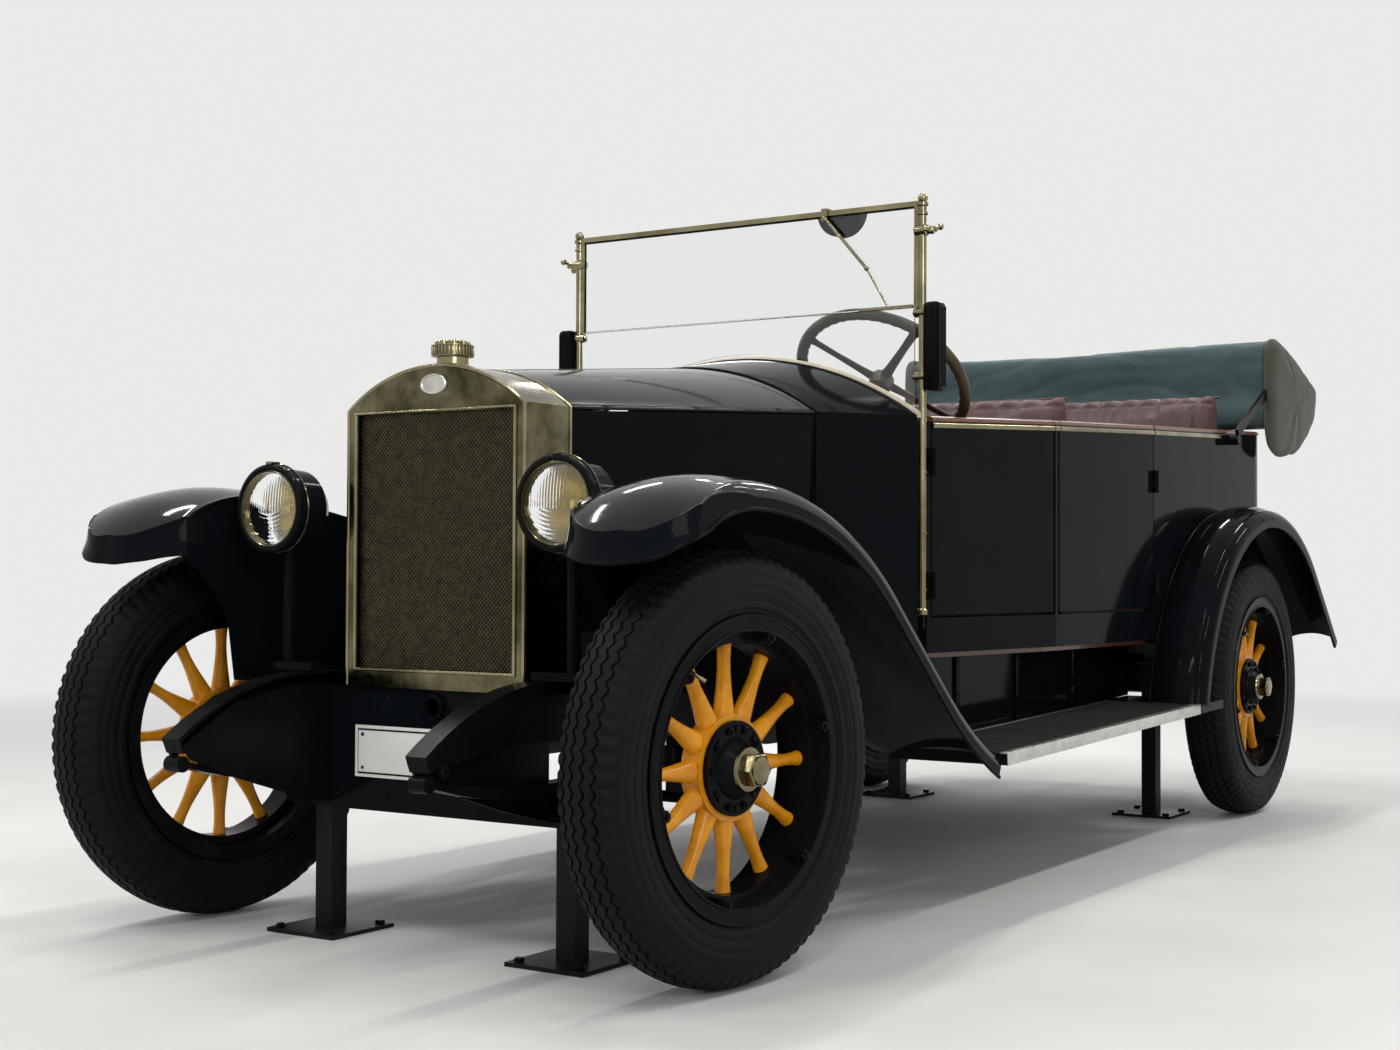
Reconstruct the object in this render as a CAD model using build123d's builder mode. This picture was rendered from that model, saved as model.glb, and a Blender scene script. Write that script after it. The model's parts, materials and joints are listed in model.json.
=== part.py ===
from build123d import *

# Open four-door touring car of the late 1920s, hood folded, standing on four axle stands.
#
# Millimetres, +X forward, +Y to the car's left, +Z up. While it is drawn, X is a station measured from the
# front axle; write() then moves every piece by ORIGIN_SHIFT, so that the origin lies on the floor under the
# middle of the whole car.


import os
from math import atan2, cos, radians, sin, sqrt


# Driving dimensions
WHEELBASE = 2950
HALF_TRACK = 645
TYRE_RADIUS = 386
TYRE_HALF_WIDTH = 66
ORIGIN_SHIFT = 1658.0
REST_STEER = -5.7
SHEET = 4
WALL = 32

# Chassis
RAIL_TOP = 528
RAIL_DEPTH = 108
RAIL_WIDTH = 46
RAIL_FRONT_Y = 300
RAIL_REAR_Y = 430
RAIL_TAPER_START = -60
RAIL_TAPER_END = -1000
RAIL_END = -3400
CHANNEL = 6
VALANCE_X = 34
DUMB_IRON_TIP = (412, 388)
CROSSMEMBERS = ((-20, 440, 499), (-1700, 503, 522), (-2480, 454, 514), (-3340, 454, 514))

# Front axle and steering
KINGPIN_Y = 545
KINGPIN_R = 11
PIN_CLEARANCE = 0.06
AXLE_DROP_Z = 281
STEERING_ARM = 160
TIE_ROD_Z = 303
BALL_PIN_R = 7
SPINDLE_R = 18

# Body lines, as station: half width, shoulder height, crown height
RADIATOR_FRONT = 48
RADIATOR_REAR = -94
BONNET_REAR = -800
COWL_REAR = -1096
RADIATOR_SECTION = (226, 1050, 1132)
BONNET_REAR_SECTION = (367, 1085, 1199)
COWL_REAR_SECTION = (497, 1092, 1250)
SILL_BOTTOM = 545
FLOOR_TOP = 552
BELT_FRONT = 1078
BELT_SLOPE = 0.0435
BODY_REAR = -3420
REAR_CORNER = 200
BODY_PLAN = ((-1081, 495), (-1650, 580), (-2290, 605))
REAR_HALF_WIDTH = 604
DOOR_SILL = 632
FRONT_DOOR = (-1112, -1640)
REAR_DOOR = (-1673, -2286)

# Fenders and running boards
FENDER_INNER = 480
FENDER_OUTER = 745
REAR_FENDER_OUTER = 765
FENDER_DOME = 18
FENDER_LIP = 46
SHOULDER_R = 30
BOARD_OUTER = 752
BOARD_INNER = 470
BOARD_FRONT = (-966, 338)
BOARD_REAR = (-2440, 377)
BOARD_THICK = 24

# Windscreen
SCREEN_X = -1081
SCREEN_HALF = 491
SCREEN_POST_FOOT = 642
SCREEN_POST_TOP = 1592
PANE_SPLIT = 1342
PANE_TOP = 1586
CLAMP_HEIGHTS = (1180, 1328)
WIPER_Y = 270
WIPER_R = 60
WIPER_ARM = ((15, 237, 1572), (13, 352, 1439), (10, 407, 1345))

os.makedirs("parts", exist_ok=True)


def write(name, shape):
    """Label a finished piece, move it to the part's own frame and store it."""
    placed = Location((ORIGIN_SHIFT, 0, 0)) * shape
    placed.label = name
    export_step(placed, f"parts/{name}.step")


def both_sides(shape):
    """A piece and its mirror image on the car's other side."""
    return joined(shape, mirror(shape, about=Plane.XZ))


def joined(*shapes):
    """Separate solids that share one node."""
    return Compound([solid for shape in shapes for solid in shape.solids()])


def belt(station):
    """Height of the body's top edge at a station."""
    return BELT_FRONT + BELT_SLOPE * (BODY_PLAN[0][0] - station)


# Wheels. Each is drawn with its centre at the origin, its axle along X and its outer face towards +X.
SPOKES = 12
SPOKE_HUB_R = 86
FELLOE_R = 221
RIM_WELL_R = 252
RIM_FLANGE_R = 268
LUGS = 6
HUB_FLANGE_R = 84
HUB_END = 85
BRAKE_DRUM_R = 150

with BuildPart() as tyre:
    with BuildSketch(Plane.XY):
        with BuildLine():
            Polyline((54, RIM_FLANGE_R + 1), (52, RIM_WELL_R), (-52, RIM_WELL_R), (-54, RIM_FLANGE_R + 1))
            side_top = (52, TYRE_RADIUS - 12)
            ThreePointArc((54, RIM_FLANGE_R + 1), (TYRE_HALF_WIDTH, 322), side_top)
            ThreePointArc(side_top, (0, TYRE_RADIUS), (-side_top[0], side_top[1]))
            ThreePointArc((-side_top[0], side_top[1]), (-TYRE_HALF_WIDTH, 322), (-54, RIM_FLANGE_R + 1))
        make_face()
    revolve(axis=Axis.X)

with BuildPart() as rim:
    with BuildSketch(Plane.XY):
        with BuildLine():
            Polyline(
                (-30, FELLOE_R), (30, FELLOE_R), (30, 238), (60, 242), (60, RIM_FLANGE_R), (54, RIM_FLANGE_R),
                (52, RIM_WELL_R), (-52, RIM_WELL_R), (-54, RIM_FLANGE_R), (-60, RIM_FLANGE_R), (-60, 242),
                (-30, 238), close=True,
            )
        make_face()
    revolve(axis=Axis.X)
    with BuildSketch(Plane.YZ.offset(28)):
        with PolarLocations(238, LUGS, start_angle=15):
            Rectangle(22, 26)
    extrude(amount=22)
    with BuildSketch(Plane.YZ.offset(50)):
        with PolarLocations(236, LUGS, start_angle=15):
            RegularPolygon(radius=9, side_count=6)
    extrude(amount=8)

# Spoke sections from the hub out: distance from the axle, half width along it, half width across it
SPOKE_SECTIONS = ((SPOKE_HUB_R - 8, 19, 23), (108, 17, 19), (142, 14.5, 14), (FELLOE_R - 1, 14, 14))

with BuildPart() as spokes:
    for number in range(SPOKES):
        turn = radians(360 / SPOKES * number)
        along_spoke = Plane(origin=(0, 0, 0), x_dir=(1, 0, 0), z_dir=(0, cos(turn), sin(turn)))
        for distance, depth, width in SPOKE_SECTIONS:
            with BuildSketch(along_spoke.offset(distance)):
                Ellipse(depth, width)
        loft()
    with BuildSketch(Plane.YZ.offset(-20)):
        Circle(SPOKE_HUB_R + 8)
        Circle(40.5, mode=Mode.SUBTRACT)
    extrude(amount=40)


def hub(drum):
    """A wheel's hub: two flanges, barrel, dome and hexagon cap, with a brake drum on a rear wheel."""
    with BuildPart() as made:
        with BuildSketch(Plane.XY):
            with BuildLine():
                Polyline(
                    (-34, SPINDLE_R + PIN_CLEARANCE), (-34, 46), (-29, HUB_FLANGE_R), (-21, HUB_FLANGE_R),
                    (-21, 40), (21, 40), (21, HUB_FLANGE_R), (29, HUB_FLANGE_R), (30, 44), (52, 38), (60, 28),
                    (60, 0), (50, 0), (50, SPINDLE_R + PIN_CLEARANCE), close=True,
                )
            make_face()
        revolve(axis=Axis.X)
        with BuildSketch(Plane.YZ.offset(60)):
            RegularPolygon(radius=28, side_count=6)
        extrude(amount=HUB_END - 60)
        with BuildSketch(Plane.YZ.offset(29)):
            with PolarLocations(70, 8):
                Circle(6)
        extrude(amount=5)
        if drum:
            with BuildSketch(Plane.XY):
                with BuildLine():
                    Polyline(
                        (-29, 46), (-29, BRAKE_DRUM_R), (-82, BRAKE_DRUM_R), (-82, BRAKE_DRUM_R - 10),
                        (-37, BRAKE_DRUM_R - 10), (-37, 46), close=True,
                    )
                make_face()
            revolve(axis=Axis.X)
    return made.part


front_hub = hub(drum=False)
rear_hub = hub(drum=True)


def wheel_place(station, side, steered):
    """Where a wheel stands: side is 1 on the left and -1 on the right; front wheels turn about their kingpins."""
    turn = 90 if side > 0 else -90
    rest = Location((station, side * HALF_TRACK, TYRE_RADIUS), (0, 0, turn))
    if not steered:
        return rest
    return steer_place(side) * rest


def steer_place(side):
    """Turns a piece about a front kingpin by the rest steering angle."""
    pin = (0, side * KINGPIN_Y, 0)
    return Location(pin) * Location((0, 0, 0), (0, 0, REST_STEER)) * Location((-pin[0], -pin[1], 0))


for corner, station, side, steered in (
    ("front_left", 0, 1, True),
    ("front_right", 0, -1, True),
    ("rear_left", -WHEELBASE, 1, False),
    ("rear_right", -WHEELBASE, -1, False),
):
    place = wheel_place(station, side, steered)
    metal = joined(rim.part, front_hub if steered else rear_hub)
    write(f"tyre_{corner}", place * tyre.part)
    write(f"spokes_{corner}", place * spokes.part)
    write(f"wheel_{corner}", place * metal)

# The spare rim and tyre stand behind the body, flat against their carrier.
SPARE_X = BODY_REAR - 118
SPARE_Z = 700
spare_place = Location((SPARE_X, 0, SPARE_Z), (0, 0, 180))
write("spare_tyre", spare_place * tyre.part)
write("spare_rim", spare_place * rim.part)

# Front knuckles: a forked stub axle with its kingpin and steering arm, drawn straight ahead on the left.
EAR_GAP = 33
EAR_THICK = 15
FORK_OUTER = 600

with BuildPart() as knuckle:
    with BuildSketch(Plane.XY.offset(TYRE_RADIUS - EAR_GAP - EAR_THICK)):
        with Locations((0, KINGPIN_Y)):
            Circle(25)
        with Locations((0, (KINGPIN_Y + FORK_OUTER) / 2)):
            Rectangle(50, FORK_OUTER - KINGPIN_Y)
    extrude(amount=EAR_THICK)
    with BuildSketch(Plane.XY.offset(TYRE_RADIUS + EAR_GAP)):
        with Locations((0, KINGPIN_Y)):
            Circle(25)
        with Locations((0, (KINGPIN_Y + FORK_OUTER) / 2)):
            Rectangle(50, FORK_OUTER - KINGPIN_Y)
    extrude(amount=EAR_THICK)
    with BuildSketch(Plane.XY.offset(TYRE_RADIUS - EAR_GAP - 1)):
        with Locations((0, FORK_OUTER - 11)):
            Rectangle(50, 22)
    extrude(amount=2 * EAR_GAP + 2)
    with BuildSketch(Plane.XY.offset(TYRE_RADIUS - EAR_GAP - EAR_THICK)):
        with Locations((0, KINGPIN_Y)):
            Circle(KINGPIN_R - PIN_CLEARANCE)
    extrude(amount=2 * (EAR_GAP + EAR_THICK))
    with BuildSketch(Plane.XZ.offset(-FORK_OUTER)):
        with Locations((0, TYRE_RADIUS)):
            Circle(SPINDLE_R)
    extrude(amount=-(HALF_TRACK + 48 - FORK_OUTER))
    with BuildSketch(Plane.XY.offset(TYRE_RADIUS - EAR_GAP - EAR_THICK)):
        with BuildLine():
            Polyline((-10, KINGPIN_Y - 20), (-10, KINGPIN_Y + 20), (-STEERING_ARM, KINGPIN_Y + 13),
                     (-STEERING_ARM, KINGPIN_Y - 13), close=True)
        make_face()
        with Locations((-STEERING_ARM, KINGPIN_Y)):
            Circle(17)
    extrude(amount=EAR_THICK)
    with BuildSketch(Plane.XY.offset(TIE_ROD_Z - 13)):
        with Locations((-STEERING_ARM, KINGPIN_Y)):
            Circle(BALL_PIN_R)
    extrude(amount=TYRE_RADIUS - EAR_GAP - EAR_THICK - TIE_ROD_Z + 14)

write("knuckle_left", steer_place(1) * knuckle.part)
write("knuckle_right", steer_place(-1) * mirror(knuckle.part, about=Plane.XZ))

# The tie rod runs behind the axle, hung under the two steering arms.
arm_x = -STEERING_ARM * cos(radians(REST_STEER))
arm_y = -STEERING_ARM * sin(radians(REST_STEER))
ARM_UNDERSIDE = TYRE_RADIUS - EAR_GAP - EAR_THICK
TIE_ROD_R = 11

with BuildPart() as tie_rod:
    with BuildSketch(Plane.XZ.offset(KINGPIN_Y - arm_y)):
        with Locations((arm_x, TIE_ROD_Z)):
            Circle(TIE_ROD_R)
    extrude(amount=-2 * KINGPIN_Y)
    for end in (-1, 1):
        with BuildSketch(Plane.XY.offset(TIE_ROD_Z - 15)):
            with Locations((arm_x, end * KINGPIN_Y + arm_y)):
                Circle(17)
        extrude(amount=ARM_UNDERSIDE - 1.5 - TIE_ROD_Z + 15)
        with BuildSketch(Plane.XY.offset(TIE_ROD_Z - 15)):
            with Locations((arm_x, end * KINGPIN_Y + arm_y)):
                Circle(BALL_PIN_R + (PIN_CLEARANCE if end > 0 else 1))
        extrude(amount=ARM_UNDERSIDE - 1.5 - TIE_ROD_Z + 15, mode=Mode.SUBTRACT)
write("tie_rod", tie_rod.part)

# Front axle: a dropped I-beam with an eye at each end for the kingpin.
BEAM_HEIGHT = 58
BEAM_WIDTH = 44
DROP_START = 400

with BuildPart() as front_axle:
    with BuildSketch(Plane.YZ.offset(-BEAM_WIDTH / 2)):
        with BuildLine():
            low, high = AXLE_DROP_Z - BEAM_HEIGHT / 2, AXLE_DROP_Z + BEAM_HEIGHT / 2
            Polyline(
                (-KINGPIN_Y, TYRE_RADIUS - 28), (-500, TYRE_RADIUS - 28), (-DROP_START, low), (DROP_START, low),
                (500, TYRE_RADIUS - 28), (KINGPIN_Y, TYRE_RADIUS - 28), (KINGPIN_Y, TYRE_RADIUS + 28),
                (488, TYRE_RADIUS + 28), (DROP_START - 25, high), (-DROP_START + 25, high),
                (-488, TYRE_RADIUS + 28), (-KINGPIN_Y, TYRE_RADIUS + 28), close=True,
            )
        make_face()
    extrude(amount=BEAM_WIDTH)
    for face_x, depth in ((-BEAM_WIDTH / 2, 15), (BEAM_WIDTH / 2, -15)):
        with BuildSketch(Plane.YZ.offset(face_x)):
            with Locations((0, AXLE_DROP_Z)):
                Rectangle(2 * DROP_START - 60, BEAM_HEIGHT - 22)
        extrude(amount=depth, mode=Mode.SUBTRACT)
    with Locations((0, KINGPIN_Y, TYRE_RADIUS), (0, -KINGPIN_Y, TYRE_RADIUS)):
        Cylinder(26, 2 * EAR_GAP - 6)
        Cylinder(KINGPIN_R, 2 * EAR_GAP + 4, mode=Mode.SUBTRACT)
write("front_axle", front_axle.part)

# Rear axle: banjo housing, tubes and the torque tube that runs forward to the gearbox.
AXLE_TUBE_R = 32
DRUM_BACK = HALF_TRACK - 82
TORQUE_TUBE_FRONT = (-1560, 468)

with BuildPart() as rear_axle:
    with Locations((-WHEELBASE, 0, TYRE_RADIUS)):
        Cylinder(AXLE_TUBE_R, 2 * (DRUM_BACK - 6), rotation=(90, 0, 0))
        Cylinder(SPINDLE_R, 2 * (HALF_TRACK + 48), rotation=(90, 0, 0))
        Cylinder(100, 120, rotation=(90, 0, 0))
        Cylinder(122, 60, rotation=(90, 0, 0))
        Cylinder(130, 18, rotation=(90, 0, 0))
    tube_rise = atan2(TORQUE_TUBE_FRONT[1] - TYRE_RADIUS, TORQUE_TUBE_FRONT[0] + WHEELBASE)
    along = Plane(origin=(-WHEELBASE + 80, 0, TYRE_RADIUS + 4), x_dir=(0, 1, 0),
                  z_dir=(cos(tube_rise), 0, sin(tube_rise)))
    with BuildSketch(along):
        Circle(52)
    with BuildSketch(along.offset(160)):
        Circle(32)
    loft()
    with BuildSketch(along.offset(160)):
        Circle(32)
    extrude(amount=(TORQUE_TUBE_FRONT[0] + WHEELBASE) / cos(tube_rise) - 240)
write("rear_axle", rear_axle.part)


# Helpers for bent sheet: a path in the XZ plane made of lines and tangent arcs.


def trace(start, heading, moves):
    """Legs of a path, each with its arc's centre (or none) and three marks of x, z and heading.

    Each move is (radius, turn in degrees), or (0, length) for a straight line.
    """
    x, z = start
    legs = []
    for radius, amount in moves:
        marks = [(x, z, heading)]
        hand = 1 if amount > 0 else -1
        centre = (x - hand * radius * sin(radians(heading)), z + hand * radius * cos(radians(heading)))
        for _ in range(2):
            if radius:
                heading += amount / 2
                x = centre[0] + hand * radius * sin(radians(heading))
                z = centre[1] - hand * radius * cos(radians(heading))
            else:
                x += amount / 2 * cos(radians(heading))
                z += amount / 2 * sin(radians(heading))
            marks.append((x, z, heading))
        legs.append((centre if radius else None, marks))
    return legs


def shifted(mark, offset):
    """A mark moved to the left of its heading."""
    x, z, heading = mark
    return (x - offset * sin(radians(heading)), z + offset * cos(radians(heading)))


def strip(legs, near, far, low, high):
    """Sheet between two offsets of a path, from y = low to y = high."""
    with BuildPart() as made:
        with BuildSketch(Plane.XZ.offset(-high)):
            with BuildLine():
                for offset in (near, far):
                    for centre, marks in legs:
                        first, middle, last = (shifted(mark, offset) for mark in marks)
                        if centre:
                            ThreePointArc(first, middle, last)
                        else:
                            Line(first, last)
                for mark in (legs[0][1][0], legs[-1][1][2]):
                    Line(shifted(mark, near), shifted(mark, far))
            make_face()
        extrude(amount=high - low)
    return made.part


def beneath(legs, near, floor, low, high):
    """Solid between a path's offset and a level below it, from y = low to y = high."""
    with BuildPart() as made:
        with BuildSketch(Plane.XZ.offset(-high)):
            with BuildLine():
                for centre, marks in legs:
                    first, middle, last = (shifted(mark, near) for mark in marks)
                    if centre:
                        ThreePointArc(first, middle, last)
                    else:
                        Line(first, last)
                first = shifted(legs[0][1][0], near)
                last = shifted(legs[-1][1][2], near)
                Polyline(first, (first[0], floor), (last[0], floor), last)
            make_face()
        extrude(amount=high - low)
    return made.part


def prism(plane, points, amount):
    """Extruded polygon."""
    with BuildPart() as made:
        with BuildSketch(plane):
            with BuildLine():
                Polyline(*points, close=True)
            make_face()
        extrude(amount=amount)
    return made.part


def combined(first, *others, mode=Mode.INTERSECT):
    """The first shape cut by, or limited to, each of the others in turn."""
    with BuildPart() as made:
        add(first)
        for other in others:
            add(other, mode=mode)
    return made.part


def block(x, y, z):
    """Box between two limits on each axis."""
    with BuildPart() as made:
        with Locations(((x[0] + x[1]) / 2, (y[0] + y[1]) / 2, (z[0] + z[1]) / 2)):
            Box(abs(x[1] - x[0]), abs(y[1] - y[0]), abs(z[1] - z[0]))
    return made.part


# Chassis frame: two tapered channel rails with curved dumb irons, crossmembers and the spare's carrier.


def rail_y(station):
    """Centre line of the left rail at a station."""
    share = (station - RAIL_TAPER_START) / (RAIL_TAPER_END - RAIL_TAPER_START)
    return RAIL_FRONT_Y + min(max(share, 0), 1) * (RAIL_REAR_Y - RAIL_FRONT_Y)


def rail_solid(inset, opening):
    """The left rail as a solid bar, made smaller by inset; opening moves the inner side further in."""
    top, bottom = RAIL_TOP - inset, RAIL_TOP - RAIL_DEPTH + inset
    tip_x, tip_z = DUMB_IRON_TIP
    rear = RAIL_END + inset
    outer = RAIL_WIDTH / 2 - inset
    inner = -RAIL_WIDTH / 2 - opening
    stations = (470, RAIL_TAPER_START, RAIL_TAPER_END, RAIL_END - 20)
    plan = [(x, rail_y(x) + outer) for x in stations] + [(x, rail_y(x) + inner) for x in reversed(stations)]
    bar = prism(Plane.XY.offset(300), plan, 300)
    with BuildPart() as side:
        with BuildSketch(Plane.XZ.offset(-500)):
            with BuildLine():
                Polyline((130, top), (rear, top), (rear, bottom), (60, bottom))
                ThreePointArc((130, top), (300, 490 - inset), (tip_x + 22 - inset, tip_z + 30 - inset))
                Line((tip_x + 22 - inset, tip_z + 30 - inset), (tip_x + 10 - inset, tip_z + 2 + inset))
                ThreePointArc((tip_x + 10 - inset, tip_z + 2 + inset), (270, bottom - 6), (60, bottom))
            make_face()
        extrude(amount=400)
    return combined(bar, side.part)


left_rail = combined(rail_solid(0, 0), rail_solid(CHANNEL, 40), mode=Mode.SUBTRACT)
# A flat plate closes the inner side of each dumb iron down to the spring.
horn_plate = prism(Plane.XZ.offset(-RAIL_FRONT_Y + 21), (
    (VALANCE_X + 5, 500), (150, 505), (300, 476), (426, 404), (404, 377), (291, 334), (180, 300), (77, 274),
    (VALANCE_X + 5, 266)), 5)
with BuildPart() as chassis_frame:
    for part in (left_rail, horn_plate):
        add(part)
        add(mirror(part, about=Plane.XZ))
    for station, low, high in CROSSMEMBERS:
        reach = rail_y(station + 30) + RAIL_WIDTH / 2 - CHANNEL
        add(block((station - 30, station + 30), (-reach, reach), (low, high)))
    add(block((RAIL_END + 40, BODY_REAR - 44), (-70, 70), (440, 500)))
    add(block((BODY_REAR - 44, BODY_REAR - 14), (-60, 60), (440, SPARE_Z + 200)))
    add(block((BODY_REAR - 60, BODY_REAR - 30), (-FELLOE_R + 4, FELLOE_R - 4), (SPARE_Z - 24, SPARE_Z + 24)))
write("chassis_frame", chassis_frame.part)

# Springs: half-elliptic packs with shackles, the front ones under the rails and the rear ones beside them.
FRONT_SPRING_WIDTH = 38
REAR_SPRING_WIDTH = 44


def spring(front, middle, rear, thick, y, width):
    """One leaf pack with a rolled eye at both ends, centred on y."""
    with BuildPart() as made:
        with BuildSketch(Plane.XZ.offset(-y - width / 2)):
            with BuildLine():
                ThreePointArc((front[0], front[1] + 5), (middle[0], middle[1] + thick / 2), (rear[0], rear[1] + 5))
                ThreePointArc((front[0], front[1] - 5), (middle[0], middle[1] - thick / 2), (rear[0], rear[1] - 5))
                Line((front[0], front[1] - 5), (front[0], front[1] + 5))
                Line((rear[0], rear[1] - 5), (rear[0], rear[1] + 5))
            make_face()
            with Locations(front, rear):
                Circle(15)
        extrude(amount=width)
    return made.part


front_spring = spring((418, 370), (0, 328), (-430, 392), 32, RAIL_FRONT_Y, FRONT_SPRING_WIDTH)
rear_spring = spring((-2500, 482), (-WHEELBASE, 442), (-3360, 482), 38, 480, REAR_SPRING_WIDTH)
leaf_springs = joined(front_spring, mirror(front_spring, about=Plane.XZ), rear_spring,
                      mirror(rear_spring, about=Plane.XZ))
write("leaf_springs", leaf_springs)

# Engine: one plain block with its gearbox, as the work order allows.
with BuildPart() as engine:
    add(block((-760, -190), (-150, 150), (400, 900)))
    add(block((-1530, -760), (-105, 105), (380, 520)))
    for station in (-240, -720):
        reach = rail_y(station) + RAIL_WIDTH / 2 - CHANNEL - 12
        add(block((station - 25, station + 25), (-reach, reach), (452, 492)))
write("engine", engine.part)

EXHAUST = (-290, 322)
with BuildPart() as exhaust:
    with BuildSketch(Plane.YZ.offset(-3560)):
        with Locations(EXHAUST):
            Circle(20)
            Circle(17, mode=Mode.SUBTRACT)
    extrude(amount=2000)
    with BuildSketch(Plane.YZ.offset(-2300)):
        with Locations(EXHAUST):
            Circle(70)
    extrude(amount=620)
    with BuildSketch(Plane.YZ.offset(-1560)):
        with Locations(EXHAUST):
            Circle(20)
    extrude(amount=1100)
    with Locations((-480, -225, 480)):
        Box(60, 140, 60)
    with Locations((-480, EXHAUST[0], 400)):
        Cylinder(20, 160)
write("exhaust", exhaust.part)


# Radiator: an arched shell with a filler cap, and the core that shows through its window.


def arc_radius(half, rise):
    """Radius of an arc from its half chord and its rise."""
    return (half * half + rise * rise) / (2 * rise)


def hoop(station, section, foot, lean=0):
    """Closed arch outline at a station: half width, shoulder height and crown height."""
    half, shoulder, crown = section
    with BuildSketch(Plane.YZ.offset(station)) as made:
        with BuildLine():
            Polyline((half, shoulder), (half - lean, foot), (-half + lean, foot), (-half, shoulder))
            ThreePointArc((-half, shoulder), (0, crown), (half, shoulder))
        make_face()
    return made.sketch


def tunnel(front, rear, foot, leans=(0, 0)):
    """Ruled solid between two arches, each given as station and section."""
    with BuildPart() as made:
        add(hoop(front[0], front[1], foot, leans[0]))
        add(hoop(rear[0], rear[1], foot, leans[1]))
        loft(ruled=True)
    return made.part


def inner_section(section, thick):
    """The same arch, thinner by thick all round."""
    half, shoulder, crown = section
    return (half - thick, shoulder - thick * 0.6, crown - thick)


WINDOW_HALF = 200
WINDOW_BOTTOM = 537
WINDOW_TOP = 1040
SHELL_BOTTOM = 500
CRANK_Z = 466
PLATE_HALF = 198
PLATE_LEVELS = (322, 424)
shell_inside = inner_section(RADIATOR_SECTION, 5)
with BuildPart() as radiator_shell:
    add(tunnel((RADIATOR_FRONT, RADIATOR_SECTION), (RADIATOR_REAR, RADIATOR_SECTION), SHELL_BOTTOM))
    add(tunnel((RADIATOR_FRONT - 5, shell_inside), (RADIATOR_REAR - 5, shell_inside), SHELL_BOTTOM - 5),
        mode=Mode.SUBTRACT)
    add(block((RADIATOR_FRONT - 30, RADIATOR_FRONT + 5), (-WINDOW_HALF, WINDOW_HALF),
              (WINDOW_BOTTOM, WINDOW_TOP)), mode=Mode.SUBTRACT)
    add(block((RADIATOR_FRONT - 30, RADIATOR_FRONT), (-RADIATOR_SECTION[0] + 3, RADIATOR_SECTION[0] - 3),
              (SHELL_BOTTOM, WINDOW_BOTTOM)))
    with Locations((-7, 0, RADIATOR_SECTION[2] + 8)):
        Cylinder(30, 24)
    with Locations((-7, 0, RADIATOR_SECTION[2] + 30)):
        Cylinder(40, 20)
    with Locations((-7, 0, RADIATOR_SECTION[2] + 44)):
        Cylinder(24, 10)
write("radiator_shell", radiator_shell.part)

with BuildPart() as radiator_core:
    add(block((-60, 30), (-214, 214), (WINDOW_BOTTOM + 2, 1036)))
write("radiator_core", radiator_core.part)

with BuildPart() as front_valance:
    add(block((VALANCE_X, VALANCE_X + 4), (-276, 276), (264, 499)))
    with Locations((VALANCE_X + 6, 0, CRANK_Z)):
        Cylinder(26, 16, rotation=(0, 90, 0))
        Cylinder(18, 20, rotation=(0, 90, 0), mode=Mode.SUBTRACT)
write("front_valance", front_valance.part)

with BuildPart() as number_plate:
    add(block((VALANCE_X + 12, VALANCE_X + 15), (-PLATE_HALF, PLATE_HALF), PLATE_LEVELS))
    for y in (-90, 90):
        add(block((VALANCE_X + 4, VALANCE_X + 12), (y - 8, y + 8), (370, 390)))
write("number_plate", number_plate.part)

# Headlamps: drums on posts, each with a ring and a lens.
LAMP = (120, 360, 854)
LAMP_RING_R = 89
LENS_R = 74

with BuildPart() as headlamp:
    with BuildSketch(Plane.XY):
        with BuildLine():
            Polyline((12, LENS_R), (12, LAMP_RING_R), (-6, LAMP_RING_R), (-6, 84), (-70, 80), (-96, 60), (-108, 0),
                     (-102, 0), (-92, 54), (-68, 74), (0, 78), (0, LENS_R), close=True)
        make_face()
    revolve(axis=Axis.X)
    with Locations((-48, 0, -190)):
        Cylinder(13, 240)
    with Locations((-48, 0, -80)):
        Cylinder(22, 16)
    with Locations((-43, -30, -316)):
        Box(34, 104, 16)
lamp_left = Location(LAMP) * headlamp.part
write("headlamps", joined(lamp_left, mirror(lamp_left, about=Plane.XZ)))

LENS_NOSE = 16
LENS_SPHERE = ((LENS_R - 1) ** 2 + (LENS_NOSE - 5) ** 2) / (2 * (LENS_NOSE - 5))
LENS_HALF_ANGLE = atan2(LENS_R - 1, LENS_SPHERE - (LENS_NOSE - 5)) / 2
LENS_MIDDLE = (LENS_NOSE - LENS_SPHERE + LENS_SPHERE * cos(LENS_HALF_ANGLE), LENS_SPHERE * sin(LENS_HALF_ANGLE))
with BuildPart() as lens:
    with BuildSketch(Plane.XY):
        with BuildLine():
            Line((1, 0), (1, LENS_R - 1))
            Line((1, LENS_R - 1), (5, LENS_R - 1))
            ThreePointArc((5, LENS_R - 1), LENS_MIDDLE, (LENS_NOSE, 0))
            Line((LENS_NOSE, 0), (1, 0))
        make_face()
    revolve(axis=Axis.X)
lens_left = Location(LAMP) * lens.part
write("headlamp_lenses", joined(lens_left, mirror(lens_left, about=Plane.XZ)))

# Fenders: a domed sheet swept along a path, with a rolled shoulder and an outer lip. The front ones end in a
# nose that is rounded in plan and turned down all round.
FRONT_PATH = trace((326.9, 738.5), 126.5, ((0, 68), (203, 33.5), (382, 20), (830, 40), (0, 325.7), (1017, -16)))
REAR_PATH = trace((-2238.4, 375), 101.5, ((675, 78.5), (680, 42), (0, 330)))
NOSE_LOW = 752
NOSE_LEVEL = 804
NOSE_FLARE = 0.3
NOSE_PLAN = ((240, FENDER_OUTER), (275, 722), (304, 630), (290, 540), (222, 470))
SKIRT_Y = 484
SKIRT_FOOT = 505
SKIRT_PLAN = ((100, SKIRT_Y), (-110, SKIRT_Y), (-330, 380), (-600, 402), (-1000, 460))


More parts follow.
